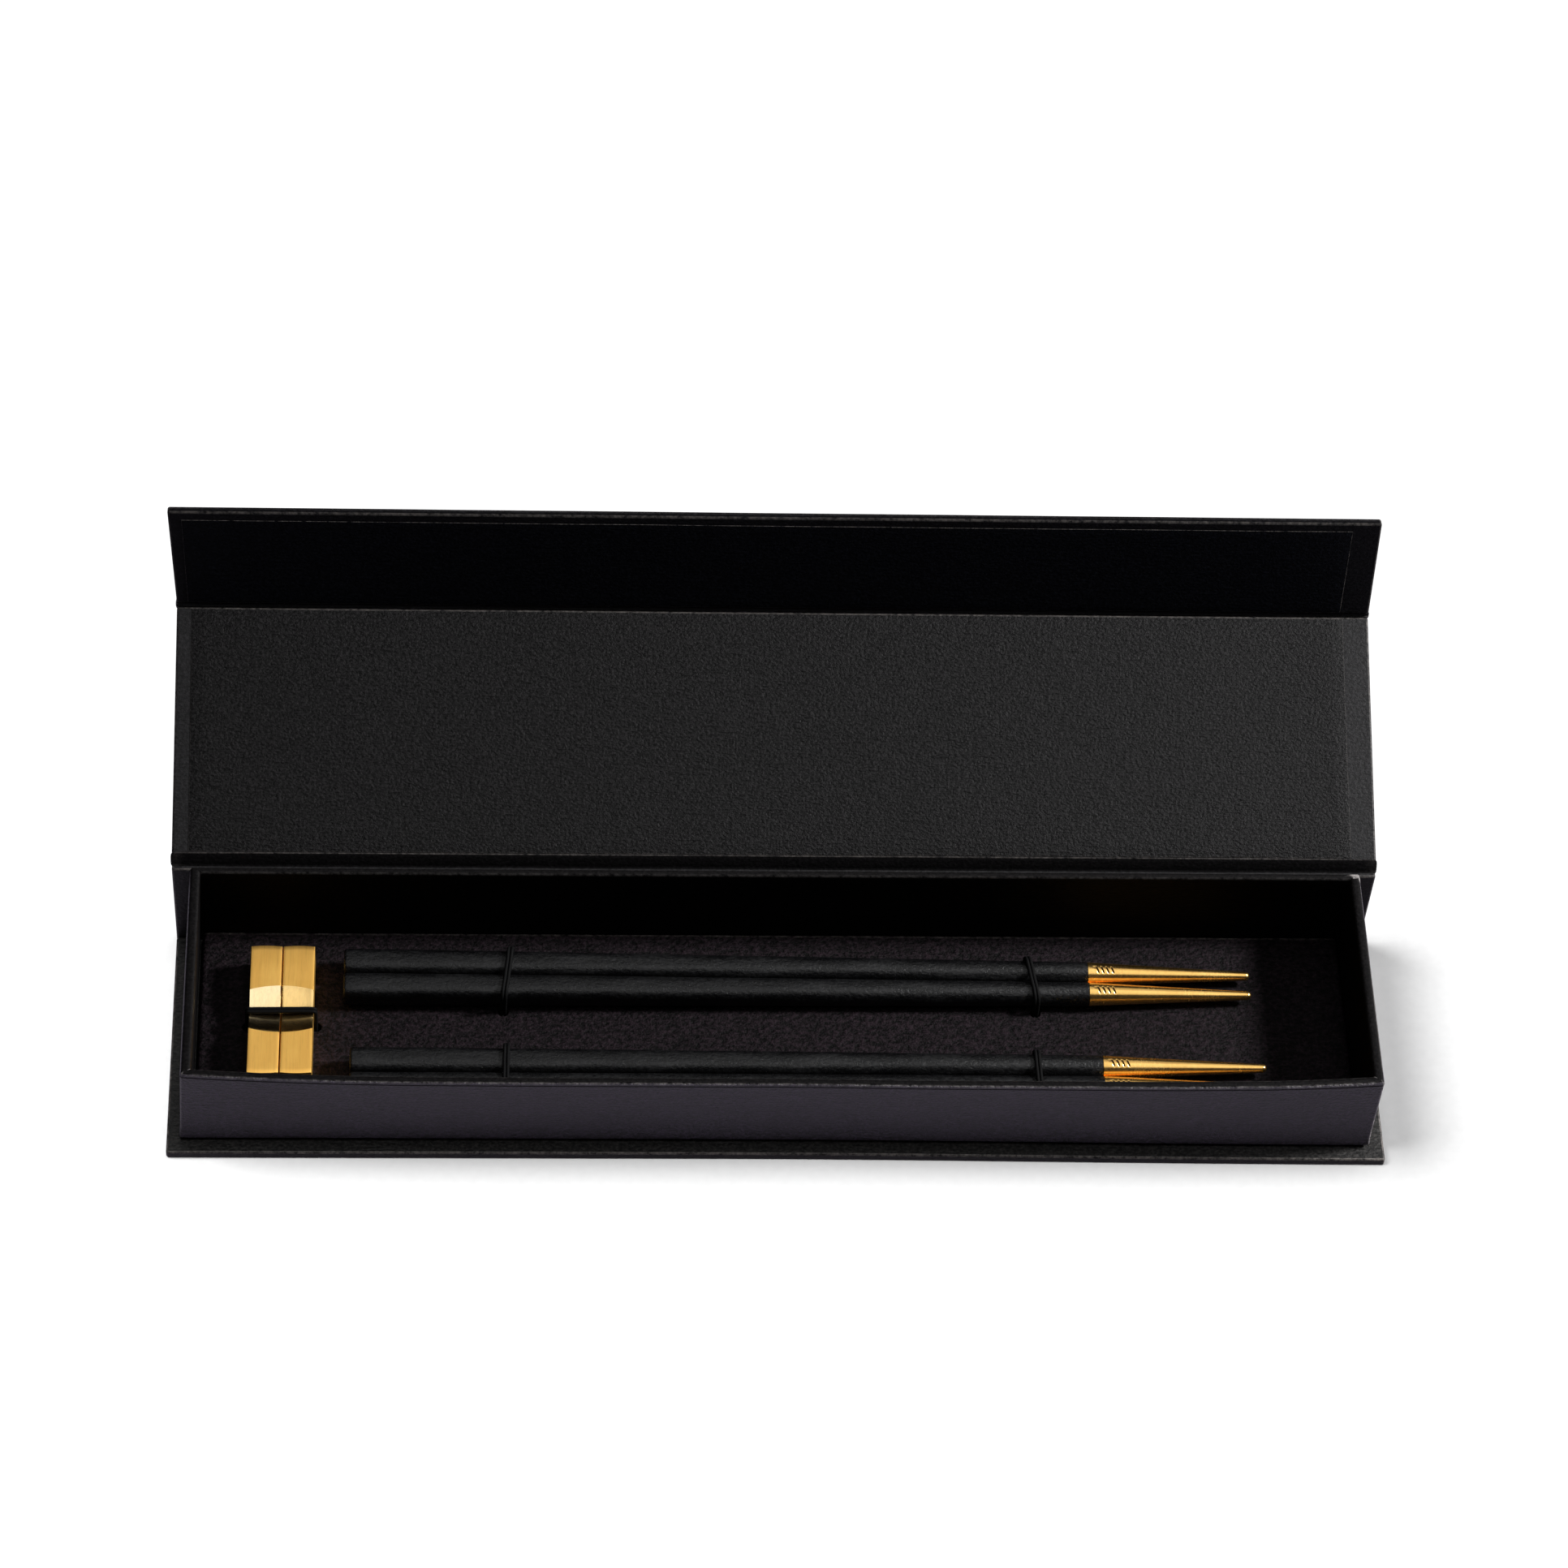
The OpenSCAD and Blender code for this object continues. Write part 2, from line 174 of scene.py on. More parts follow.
def paper_material(name, colour, rough, specks, specular, wear=0.6, relief=0.35, grain=1500,
                   wear_colour=(0.30, 0.27, 0.25)):
    """Dark uncoated paper: fine pressed grain, pale fibres, blotches, and wear where 'wear' is set."""
    mat, tree = new_material(name)
    fine = noise_tex(tree, grain, 3.0, 0.65, (0.8, 1, 1))
    fibres = noise_tex(tree, grain * 0.55, 2.0, 0.6, (0.25, 1.6, 1.6), (0.2, 0.3, 0.5))
    blotch = noise_tex(tree, 45, 3.0, 0.6)
    tone = ramp(tree, fine, [(0.38, spread(colour, 1 - specks)), (0.52, colour),
                             (0.68, spread(colour, 1 + 1.8 * specks))])
    pale = ramp(tree, fibres, [(0.60, (0, 0, 0)), (0.74, (1, 1, 1))])
    tone = mix(tree, calc(tree, "MULTIPLY", pale, 0.5 * specks), tone, spread(colour, 2.6))
    tone = mix(tree, 0.5, tone, ramp(tree, blotch, [(0.3, (0.78, 0.78, 0.78)), (0.7, (1, 1, 1))]),
               "MULTIPLY")
    scuff = noise_tex(tree, 700, 4.0, 0.7)
    scuff = calc(tree, "MULTIPLY_ADD", scuff, 3.2, -1.15, clamp=True)
    worn = calc(tree, "MULTIPLY", attribute(tree, "wear"), scuff)
    tone = mix(tree, calc(tree, "MULTIPLY", worn, wear, clamp=True), tone, wear_colour)
    surface(tree, tone, calc(tree, "MULTIPLY_ADD", fine, 0.24, rough - 0.12), specular)
    height = calc(tree, "ADD", fine, calc(tree, "MULTIPLY", fibres, 0.6))
    bump(tree, height, relief, PAPER_DEPTH)
    return mat


def board_material(name):
    """Grey board: pressed pulp with flecks."""
    mat, tree = new_material(name)
    pulp = noise_tex(tree, 900, 4.0, 0.7, (0.5, 1, 1))
    tone = ramp(tree, pulp, [(0.35, (0.16, 0.15, 0.13)), (0.6, (0.30, 0.28, 0.25))])
    surface(tree, tone, 0.9)
    bump(tree, pulp, 0.4, BOARD_DEPTH)
    return mat


def shaft_material(name):
    """Uneven satin coating on the chopsticks: leathery pits over slow, long patches."""
    mat, tree = new_material(name)
    skin = noise_tex(tree, 1300, 4.0, 0.7, (0.7, 1, 1))
    patches = noise_tex(tree, 330, 3.0, 0.6, (0.25, 1, 1))
    both = calc(tree, "MULTIPLY_ADD", skin, 0.6, calc(tree, "MULTIPLY", patches, 0.5))
    tone = ramp(tree, both, [(0.42, (0.0012, 0.0012, 0.0014)), (0.56, (0.0025, 0.0025, 0.0028)),
                             (0.68, (0.0066, 0.0066, 0.0070))])
    surface(tree, tone, calc(tree, "MULTIPLY_ADD", both, 0.50, 0.01), 0.30)
    bump(tree, both, 1.0, COAT_DEPTH)
    return mat


def gold_material(name, colour, rough, brush, strength, spread_rough=0.12, engraved=False):
    """Gold plate with brushing lines that run across the axis stretched least in brush."""
    mat, tree = new_material(name)
    lines = noise_tex(tree, 1.0, 3.0, 0.7, brush)
    cloud = noise_tex(tree, 105, 3.0, 0.6)
    tone = ramp(tree, lines, [(0.25, spread(colour, 0.86)), (0.5, colour), (0.8, spread(colour, 1.10))])
    tone = mix(tree, 0.7, tone, ramp(tree, cloud, [(0.38, (0.93, 0.88, 0.80)), (0.62, (1, 1, 1))]),
               "MULTIPLY")
    # Inside the notches, where 'cut' is set, the gold is painted near black and made rougher.
    if engraved:
        cut = calc(tree, "MULTIPLY", attribute(tree, "cut"), 2.4, clamp=True)
        tone = mix(tree, cut, tone, (0.030, 0.016, 0.006))
    r = calc(tree, "MULTIPLY_ADD", lines, spread_rough, rough - spread_rough / 2)
    r = calc(tree, "ADD", r, calc(tree, "MULTIPLY_ADD", cloud, 0.08, -0.04))
    if engraved:
        r = calc(tree, "MULTIPLY_ADD", cut, 0.5, r)
    surface(tree, tone, r, metallic=1.0)
    bump(tree, lines, strength, METAL_DEPTH)
    return mat


def cord_material(name):
    """Matt braided elastic: near black, with a painted sheen that makes the yarn crests paler."""
    mat, tree = new_material(name)
    yarn = noise_tex(tree, 5200, 3.0, 0.7)
    tone = ramp(tree, yarn, [(0.3, (0.0007, 0.0007, 0.0008)), (0.7, (0.0018, 0.0018, 0.0020))])
    crown = calc(tree, "MULTIPLY", attribute(tree, "crown"), 0.8)
    tone = mix(tree, crown, tone, (0.0030, 0.0030, 0.0032))
    surface(tree, tone, 0.72, 0.08)
    bump(tree, yarn, 0.5, YARN_DEPTH)
    return mat


def steel_material(name, dark, pale):
    """Hazy plated steel."""
    mat, tree = new_material(name)
    haze = noise_tex(tree, 600, 3.0, 0.6)
    tone = ramp(tree, haze, [(0.3, dark), (0.7, pale)])
    surface(tree, tone, calc(tree, "MULTIPLY_ADD", haze, 0.2, 0.2), metallic=1.0)
    bump(tree, haze, 0.2, METAL_DEPTH)
    return mat


# Papers: colour, roughness, specks, specular and wear.
RIM_WEAR = (0.42, 0.39, 0.38)
WRAP = paper_material("wrap_paper", (0.0062, 0.0058, 0.0064), 0.50, 0.55, 0.17, 0.22)
TRAY = paper_material("tray_paper", (0.0164, 0.0121, 0.0204), 0.51, 1.0, 0.64, 0.75,
                      relief=1.3, wear_colour=RIM_WEAR)
# The rim and the inner side of the tray take a darker, duller copy of the tray paper: painted shade.
SHADED_INNER = paper_material("tray_inner_paper_painted_shade", (0.0036, 0.0032, 0.0034), 0.60, 0.4, 0.05, 0.75,
                       wear_colour=RIM_WEAR)
LINER = paper_material("liner_paper", (0.0045, 0.0042, 0.0044), 0.50, 0.8, 0.11, relief=0.8, grain=1600)
# The flap's liner is the lid's liner paper in a darker, duller copy: painted shade on the flap.
SHADED_FLAP_LINER = paper_material("flap_liner_paper_painted_shade", (0.0016, 0.0018, 0.0026), 0.50, 0.6, 0.03,
                            relief=0.6, grain=1600)
# The flap's turned-in wrap is the wrap paper in a darker copy: painted shade on the flap's inner side.
SHADED_FLAP_WRAP = paper_material("flap_turned_paper_painted_shade", (0.0026, 0.0025, 0.0030), 0.52, 0.55, 0.05, 0.12)
# The base's paper is a lighter copy of the wrap paper: painted light on the base and its ledge.
LIT_BASE_WRAP = paper_material("base_paper_lit_copy", (0.0086, 0.0080, 0.0076), 0.50, 1.0, 0.18, 0.36)
# A near-black copy of the wrap paper for the inside of the lid's crease: painted shade in the groove.
GROOVE_SHADE = paper_material("groove_paper_painted_shade", (0.0022, 0.0020, 0.0022), 0.7, 0.5, 0.04, 0.15)
CARD = paper_material("insert_card", (0.0050, 0.0031, 0.0042), 0.62, 1.0, 0.08, 0.2, relief=1.2, grain=1200)
BOARD = board_material("grey_board")
SHAFT = shaft_material("shaft_coating")
GOLD_TURNED = gold_material("gold_turned", (0.98, 0.60, 0.185), 0.25, (2600, 700, 700), 0.30,
                            engraved=True)
GOLD_BRUSHED = gold_material("gold_brushed", (1.0, 0.585, 0.145), 0.44, (3600, 110, 3600), 0.40)
SCOOP_BRUSH = (1500, 60, 1500)
# Both rests' scoops are the same polished gold in two copies; the right one's is painted darker and more
# orange, as painted shade on that rest.
GOLD_POLISHED = {
    "left": gold_material("gold_polished", (0.99, 0.79, 0.46), 0.16, SCOOP_BRUSH, 0.10, 0.05),
    "right": gold_material("gold_worn", (0.95, 0.66, 0.27), 0.22, SCOOP_BRUSH, 0.10, 0.05)}
CORD = cord_material("elastic_cord")
STEEL = steel_material("plated_steel", (0.42, 0.42, 0.44), (0.60, 0.60, 0.62))
# The barbs under the card are painted near black: painted shade where they show through its holes.
SHADED_BARB_STEEL = steel_material("barb_steel_painted_shade", (0.010, 0.010, 0.011), (0.020, 0.020, 0.021))

# ---- mesh tools


def make(name, verts, faces, body, nodes, slot, mats, face_mats=None, sharp=38.0, **marks):
    """A mesh piece from points in millimetres, riding on a body and standing for CAD nodes."""
    me = bpy.data.meshes.new(name)
    points = [tuple(v) for v in np.asarray(verts, float) * MM]
    me.from_pydata(points, [], [list(map(int, f)) for f in faces])
    for m in mats:
        me.materials.append(m)
    if face_mats is not None:
        me.polygons.foreach_set("material_index", np.asarray(face_mats, np.int32))
    me.validate()
    me.polygons.foreach_set("use_smooth", [True] * len(me.polygons))
    me.set_sharp_from_angle(angle=radians(sharp))
    for key, values in marks.items():
        me.attributes.new(key, "FLOAT", "POINT").data.foreach_set("value", np.asarray(values, np.float32))
    me.update()
    ob = bpy.data.objects.new(name, me)
    bpy.context.scene.collection.objects.link(ob)
    if nodes:
        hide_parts(*nodes)
    if body:
        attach(ob, body)
    return ob


def wobble(p, scale, seed):
    """Smooth noise between -1 and 1 at a point in millimetres."""
    return noise.noise(Vector((p[0] * scale + seed, p[1] * scale + 3.1 * seed, p[2] * scale + 7.7)))


def unit(value):
    """A value kept between 0 and 1."""
    return min(1.0, max(0.0, value))


def steps(lo, hi, r, n, seg):
    """Lattice lines across a side: fine in the rounded ends, even between them."""
    arc = [r * tan(radians(45 * k / seg)) for k in range(seg + 1)]
    start = [lo + r - t for t in reversed(arc)]
    end = [hi - r + t for t in arc]
    inner = [lo + r + (hi - lo - 2 * r) * k / n for k in range(1, n)]
    return start + inner + end


def rounded_box(lo, hi, r, counts, seg=3):
    """Points, quads and edge-wear of a box with rounded edges on a lattice of faces."""
    axes = [steps(lo[a], hi[a], r, counts[a], seg) for a in range(3)]
    n = [len(a) for a in axes]
    index, pts, wear = {}, [], []
    inner_lo, inner_hi = np.array(lo, float) + r, np.array(hi, float) - r

    def vertex(i, j, k):
        key = (i, j, k)
        if key not in index:
            p = np.array([axes[0][i], axes[1][j], axes[2][k]])
            c = np.clip(p, inner_lo, inner_hi)
            d = p - c
            length = np.linalg.norm(d)
            if length > 1e-9:
                p = c + d / length * r
            index[key] = len(pts)
            pts.append(p)
            wear.append(np.count_nonzero(np.abs(d) > 1e-6) - 1)
        return index[key]

    faces = []
    for a in range(3):
        b, c = (a + 1) % 3, (a + 2) % 3
        for side in (0, n[a] - 1):
            for u in range(n[b] - 1):
                for v in range(n[c] - 1):
                    quad = []
                    for du, dv in ((0, 0), (1, 0), (1, 1), (0, 1)):
                        key = [0, 0, 0]
                        key[a], key[b], key[c] = side, u + du, v + dv
                        quad.append(vertex(*key))
                    faces.append(quad if side else quad[::-1])
    return np.array(pts), faces, np.clip(wear, 0, 1)


def loft(rings, caps=True):
    """Joins closed rings of equal length into a skin, with an n-gon at each end."""
    rings = np.asarray(rings, float)
    n, m = rings.shape[:2]
    verts = rings.reshape(-1, 3)
    faces = [[i * m + k, i * m + (k + 1) % m, (i + 1) * m + (k + 1) % m, (i + 1) * m + k]
             for i in range(n - 1) for k in range(m)]
    if caps:
        faces.append(list(range(m))[::-1])
        faces.append([(n - 1) * m + k for k in range(m)])
    return verts, faces


def band(lower, upper):
    """Quads between two closed rings of point numbers."""
    n = len(lower)
    return [[lower[k], upper[k], upper[(k + 1) % n], lower[(k + 1) % n]] for k in range(n)]


def on_arc(centre, r, degrees):
    a = radians(degrees)
    return centre[0] + r * cos(a), centre[1] + r * sin(a)


def circle(centre, r, n):
    return [(centre[0] + r * cos(2 * pi * k / n), centre[1] + r * sin(2 * pi * k / n)) for k in range(n)]


def even_places(count, _length):
    return [k / count for k in range(count)]


def rect_ring(x0, x1, y0, y1, r, counts, seg, places=even_places):
    """Points round a rectangle with rounded corners; places() spreads them along a side."""
    pts = []
    corners = [((x1 - r, y0 + r), -90), ((x1 - r, y1 - r), 0), ((x0 + r, y1 - r), 90),
               ((x0 + r, y0 + r), 180)]
    prev = (x0 + r, y0)
    for (c, a0), count in zip(corners, counts * 2):
        first = on_arc(c, r, a0)
        for t in places(count, hypot(first[0] - prev[0], first[1] - prev[1])):
            pts.append((prev[0] + (first[0] - prev[0]) * t, prev[1] + (first[1] - prev[1]) * t))
        pts += [on_arc(c, r, a0 + 90 * k / seg) for k in range(seg)]
        prev = on_arc(c, r, a0 + 90)
    return pts


class Plane2:
    """A moving board's frame: s runs out from its crease and n towards its inner side."""

    def __init__(self, pos, angle):
        self.o = np.array([0, pos[1] / MM, pos[2] / MM])
        self.u = np.array([0, cos(angle), sin(angle)])
        self.v = np.array([0, -sin(angle), cos(angle)])

    def at(self, p):
        """Points (x, s, n) in the part's frame."""
        p = np.asarray(p, float)
        along_x = np.outer(p[:, 0], [1, 0, 0])
        return self.o + along_x + np.outer(p[:, 1], self.u) + np.outer(p[:, 2], self.v)

    def yz(self, s, n):
        return self.at([(0, s, n)])[0][1:]


p1, p2 = JOINTS["lid_fold"]["pos_m"], JOINTS["flap_fold"]["pos_m"]
lid_angle = atan2(p2[2] - p1[2], p2[1] - p1[1])
flap_angle = lid_angle + radians(JOINTS["flap_fold"]["range_deg"][1])
lid_len = hypot(p2[1] - p1[1], p2[2] - p1[2]) / MM
LID = Plane2(p1, lid_angle)
FLAP = Plane2(p2, flap_angle)
flap_len = max(((v.co - Vector(p2)) @ Vector(FLAP.u)) for v in NODES["flap_wrap"].data.vertices) / MM

# ---- boards in their paper

base_lo, base_hi = box_mm("base_wrap")
spine_hi = box_mm("spine_wrap")[1]
tray_lo, tray_hi = box_mm("tray_wrap")
half = base_hi[0]
EDGE, SHEET_EDGE, SAG = 0.6, 0.09, 0.07
# Paper lies this far over and under the face of its board.
TURN, TURN_UNDER, SHEET, SHEET_UNDER = 0.05, 0.1, 0.2, 0.12
CELLS_X, CELLS_S = 76, 14
# The skew of the front edge: how far out, where it starts and how long it takes, along X and in Y.
SKEW, SKEW_X, SKEW_DX, SKEW_Y, SKEW_DY = 1.25, -20.0, 172.0, -14.0, 17.0
# The flap's free left corner: how far out, where the change starts and how long it takes.
SHEAR, SHEAR_X, SHEAR_DX = 1.4, -60.0, 92.0


def sag(p, seed):
    """A board's slight unevenness, along its thickness."""
    at = (p[0], p[1], 0)
    return SAG * wobble(at, 0.018, seed) + 0.25 * SAG * wobble(at, 0.09, seed + 5)


def board_cover(name, s0, s1, n0, n1, seed, place, body, node, outside=WRAP, inside=WRAP):
    """Paper-wrapped board with rounded edges and a slightly uneven face."""
    pts, faces, wear = rounded_box((-half, s0, n0), (half, s1, n1), EDGE, (CELLS_X, CELLS_S, 2))
    for p in pts:
        p[2] += sag(p, seed)
        p[1] += 0.05 * wobble(p, 0.03, seed + 9) * (1 if p[1] > (s0 + s1) / 2 else 0.3)
    fm = [1 if min(pts[k][2] for k in f) > n0 + EDGE + 0.3 else 0 for f in faces]
    make(name, place(pts), faces, body, (node,), "wrap_paper", (outside, inside), face_mats=fm, wear=wear)


def sheet_on(name, x0, x1, s0, s1, face, seed, place, body, node, mat, nick):
    """A liner pasted on a board: it follows the board's unevenness and its edges wander a little."""
    lo, hi = (x0, s0, face - SHEET_UNDER), (x1, s1, face + SHEET)
    pts, faces, wear = rounded_box(lo, hi, SHEET_EDGE, (CELLS_X, CELLS_S, 1), seg=2)
    mid_s = (s0 + s1) / 2
    for p in pts:
        edge_s = abs(p[1] - mid_s) > (s1 - s0) / 2 - 0.5
        edge_x = min(abs(p[0] - x0), abs(p[0] - x1)) < 0.5
        p[2] += sag(p, seed)
        if edge_s:
            p[1] += 0.06 * wobble((p[0], p[1], 0), 0.05, seed + 2)
        if edge_x:
            p[0] += 0.08 * wobble((p[0], p[1], 0), 0.08, seed + 3) + nick * (p[1] - mid_s) / (s1 - s0)
    make(name, place(pts), faces, body, (node,), "liner_paper", (mat,), wear=0.5 * wear)


def turned_in(name, xs, ss, face, seed, place, body, mat=WRAP):
    """A turned-in flange of the wrap: a thin flat strip with mitred ends, cut along its length."""
    n0, n1 = face - TURN_UNDER, face + TURN
    a, b, c, d = [np.array(p, float) for p in zip(xs, ss)]
    count = max(6, int(np.linalg.norm(b - a) / 4))
    rings = []
    lip = 0.04
    for k in range(count + 1):
        t = k / count
        out, inn = a + (b - a) * t, d + (c - d) * t
        across = (inn - out) / np.linalg.norm(inn - out)
        ring = []
        for q, z in ((out, n0), (out, n1 - lip), (out + across * lip, n1),
                     (inn - across * lip, n1), (inn, n1 - lip), (inn, n0)):
            ring.append([q[0], q[1], z + sag((q[0], q[1], 0), seed)])
        rings.append(ring)
    pts, faces = loft(rings)
    make(name, place(pts), faces, body, (), "wrap_paper", (mat,), sharp=25)


def skew(x, y):
    """The front edge runs a little further out towards the right end."""
    t = unit((x - SKEW_X) / SKEW_DX)
    w = unit((SKEW_Y - y) / SKEW_DY)
    return SKEW * t * t * (3 - 2 * t) * w


def flat(p):
    """The base's frame, with its front edge skewed as the real one is."""
    p = np.array(p, float)
    p[:, 1] -= [skew(x, y) for x, y in p[:, :2]]
    return p


def stand(p):
    """The spine's frame: s runs up, n runs forwards from its outer face."""
    p = np.asarray(p, float)
    return np.stack([p[:, 0], spine_hi[1] - p[:, 2], p[:, 1]], axis=1)


board_cover("base_cover", base_lo[1], base_hi[1], 0.0, base_hi[2], 1.0, flat, "case", "base_wrap",
            LIT_BASE_WRAP, LIT_BASE_WRAP)
board_cover("spine_cover", 0.0, spine_hi[2], 0.0, 2.5, 2.0, stand, "case", "spine_wrap")
LID_S0, LID_S1, LID_N0, LID_N1 = 0.85, lid_len - 1.2, -1.5, 1.0
FLAP_S0, FLAP_S1, FLAP_N0, FLAP_N1 = 1.3, flap_len, -0.75, 1.75
board_cover("lid_cover", LID_S0, LID_S1, LID_N0, LID_N1, 3.0, LID.at, "lid", "lid_wrap")


def flap_at(p):
    """The flap is cut slightly askew: its free left corner stands a little further out."""
    p = np.array(p, float)
    along = np.clip((p[:, 1] - FLAP_S0) / (FLAP_S1 - FLAP_S0), 0, 1)
    near = np.clip((SHEAR_X - p[:, 0]) / SHEAR_DX, 0, 1)
    p[:, 0] -= SHEAR * along * near ** 2
    return FLAP.at(p)


board_cover("flap_cover", FLAP_S0, FLAP_S1, FLAP_N0, FLAP_N1, 4.0, flap_at, "flap", "flap_wrap",
            WRAP, SHADED_FLAP_WRAP)

# The liner sheets sit a little to the left, as pasted by hand.
LINER_X0, LINER_X1 = -half + 4.0, half - 6.6
sheet_on("lid_lining", LINER_X0, LINER_X1, LID_S0 + 0.7, LID_S1 - 0.6, LID_N1, 3.0,
         LID.at, "lid", "lid_liner", LINER, nick=-0.25)
sheet_on("flap_lining", LINER_X0 - 0.9, LINER_X1 - 0.8, FLAP_S0 + 0.5, FLAP_S1 - 2.4, FLAP_N1, 4.0,
         flap_at, "flap", "flap_liner", SHADED_FLAP_LINER, nick=0.3)

# Turned-in flanges of the wrap, mitred at the free corners: how far in they reach, how far from
# the edge they start, and the gap along a mitre.
IN, LEDGE_IN, OFF, MITRE = 12.0, 3.3, 0.5, 0.05
for sx, tag in ((-1, "left"), (1, "right")):
    x0, x1 = sx * (half - OFF), sx * (half - IN)
    xs = (x0, x0, x1, x1)
    turned_in(f"lid_turn_in_{tag}", xs, (LID_S0 + OFF, LID_S1 - OFF, LID_S1 - OFF, LID_S0 + OFF),
              LID_N1, 3.0, LID.at, "lid")
    turned_in(f"flap_turn_in_{tag}", xs,
              (FLAP_S0 + OFF, FLAP_S1 - OFF - MITRE, FLAP_S1 - IN - MITRE, FLAP_S0 + OFF),
              FLAP_N1, 4.0, flap_at, "flap", SHADED_FLAP_WRAP)
    turned_in(f"base_turn_in_{tag}", xs,
              (base_lo[1] + OFF + MITRE, base_hi[1] - 0.3, base_hi[1] - 0.3, base_lo[1] + IN + MITRE),
              base_hi[2], 1.0, flat, "case", LIT_BASE_WRAP)
x0, x1, x2 = half - OFF - MITRE, half - IN - MITRE, half - LEDGE_IN
s0, s1 = FLAP_S1 - OFF, FLAP_S1 - IN
turned_in("flap_turn_in_top", (-x0, x0, x1, -x1), (s0, s0, s1, s1), FLAP_N1, 4.0, flap_at, "flap",
          SHADED_FLAP_WRAP)
s0, s1 = base_lo[1] + OFF, base_lo[1] + LEDGE_IN
turned_in("base_turn_in_front", (-x0, x0, x2, -x2), (s0, s0, s1, s1), base_hi[2], 1.0, flat, "case",
          LIT_BASE_WRAP)

# ---- creases


def smooth_path(points, n):
    """Catmull-Rom through 2D points, n steps per span."""
    p = np.array([points[0]] + list(points) + [points[-1]], float)
    out = []
    for i in range(1, len(p) - 2):
        for k in range(n):
            t = k / n
            a, b, c, d = p[i - 1], p[i], p[i + 1], p[i + 2]
            out.append(0.5 * (2 * b + (c - a) * t + (2 * a - 5 * b + 4 * c - d) * t * t
                              + (3 * b - a - 3 * c + d) * t ** 3))
    out.append(p[-2])
    return np.array(out)


def crease(name, outer, inner, seed, start, end, node, fill=WRAP):
    """Bonded paper across a fold, from an outer and an inner line in the YZ plane."""
    per_span = 5
    profile = np.concatenate([smooth_path(outer, per_span), smooth_path(inner, per_span)[::-1]])
    mid = profile.mean(0)
    reach = half + 0.3
    xs = np.concatenate([[-reach, -reach + 0.12, -reach + 0.4], np.linspace(-half, half, 91),
                         [reach - 0.4, reach - 0.12, reach]])
    rings = []
    for x in xs:
        end_in = min(1.0, (reach - abs(x)) / 0.7)
        rounding = 0.65 * sqrt(max(0.0, 1 - (1 - end_in) ** 2))
        k = 0.35 + rounding + 0.10 * exp(-((half - abs(x)) / 1.2) ** 2)
        dy = 0.07 * wobble((x, 0, 0), 0.05, seed)
        rings.append([[x, mid[0] + (q[0] - mid[0]) * k + dy, mid[1] + (q[1] - mid[1]) * k + 0.5 * dy]
                      for q in profile])
    pts, faces = loft(rings)
    around, first = len(profile), per_span * (len(outer) - 1) + 1
    inside = [1 if len(f) == 4 and min(k % around for k in f) >= first else 0 for f in faces]
    ob = make(name, pts, faces, None, (node,), "wrap_paper", (WRAP, fill), face_mats=inside, sharp=50,
              wear=[0.3 if abs(p[0]) > half - 0.9 else 0.0 for p in pts])
    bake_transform(ob)


on_lid, on_flap = LID.yz, FLAP.yz
fold_y = LID.o[1]
top = spine_hi[2]
# The lid crease's inner side takes the near-black groove paper, as painted shade.
crease("lid_crease",
       [(fold_y - 0.05, top + 0.05), (fold_y + 0.55, top + 0.25), (fold_y + 1.15, top + 0.45),
        on_lid(1.16, -1.4)],
       [(fold_y - 1.35, top + 0.03), (fold_y - 1.0, top + 0.30), (fold_y - 0.55, top + 1.2),
        on_lid(0.45, 0.6), on_lid(1.1, 0.88)],
       11.0, (0, fold_y - 0.8, top + 0.2), (0, *on_lid(1.1, -0.2)), "lid_hinge",
       fill=GROOVE_SHADE)
crease("flap_crease",
       [on_lid(lid_len - 1.16, -1.4), on_lid(lid_len - 0.2, -1.35), on_lid(lid_len + 0.75, -0.8),
        on_flap(1.26, -0.65)],
       [on_lid(lid_len - 1.16, 0.9), on_lid(lid_len - 0.85, 0.75), on_lid(lid_len - 0.5, 1.05),
        on_flap(1.26, 1.6)],
       12.0, (0, *on_lid(lid_len - 1.1, -0.2)), (0, *on_flap(1.2, 0.4)), "flap_hinge")

# ---- tray

WALL_FRONT, WALL_REAR, WALL_SIDE = 2.1, 1.9, 2.6
RIM_R = 0.9
BOW, BOW_FROM_Z = 2.4, 3.5
LEFT_LEAN = 0.55
BACK = tray_hi[1] + 1.1
FLARE, CARD_FOOT = 5.5, 4.1
# Cells along a long side, a short side and a corner, and the loops that hold wear at a corner.
CELLS_LONG, CELLS_SHORT, CELLS_ROUND = 72, 16, 4
CORNER_LOOPS, CORNER_CLEAR = (0.0, 0.35, 0.8), 2.6
z_foot, z_rim = base_hi[2] + 0.06, tray_hi[2]
z_arc = z_rim - RIM_R


def rise_at(z):
    """How far up the wall a height is, from 0 where it starts to bow to 1 at the rim."""
    return max(0.0, (z - BOW_FROM_Z) / (z_rim - BOW_FROM_Z))


def bow(x, z):
    """How far the front wall leans and bows out, most at the middle of its rim."""
    return BOW * max(0.0, 1 - abs(x / tray_hi[0]) ** 5) * rise_at(z) ** 1.15


def crowded_places(count, length):
    """Places along a side of the tray, with extra loops close to both ends."""
    ends = [d / length for d in CORNER_LOOPS]
    middle = np.linspace(CORNER_CLEAR / length, 1 - CORNER_CLEAR / length, count - 5)
    return [*ends, *middle, 1 - ends[2], 1 - ends[1]]


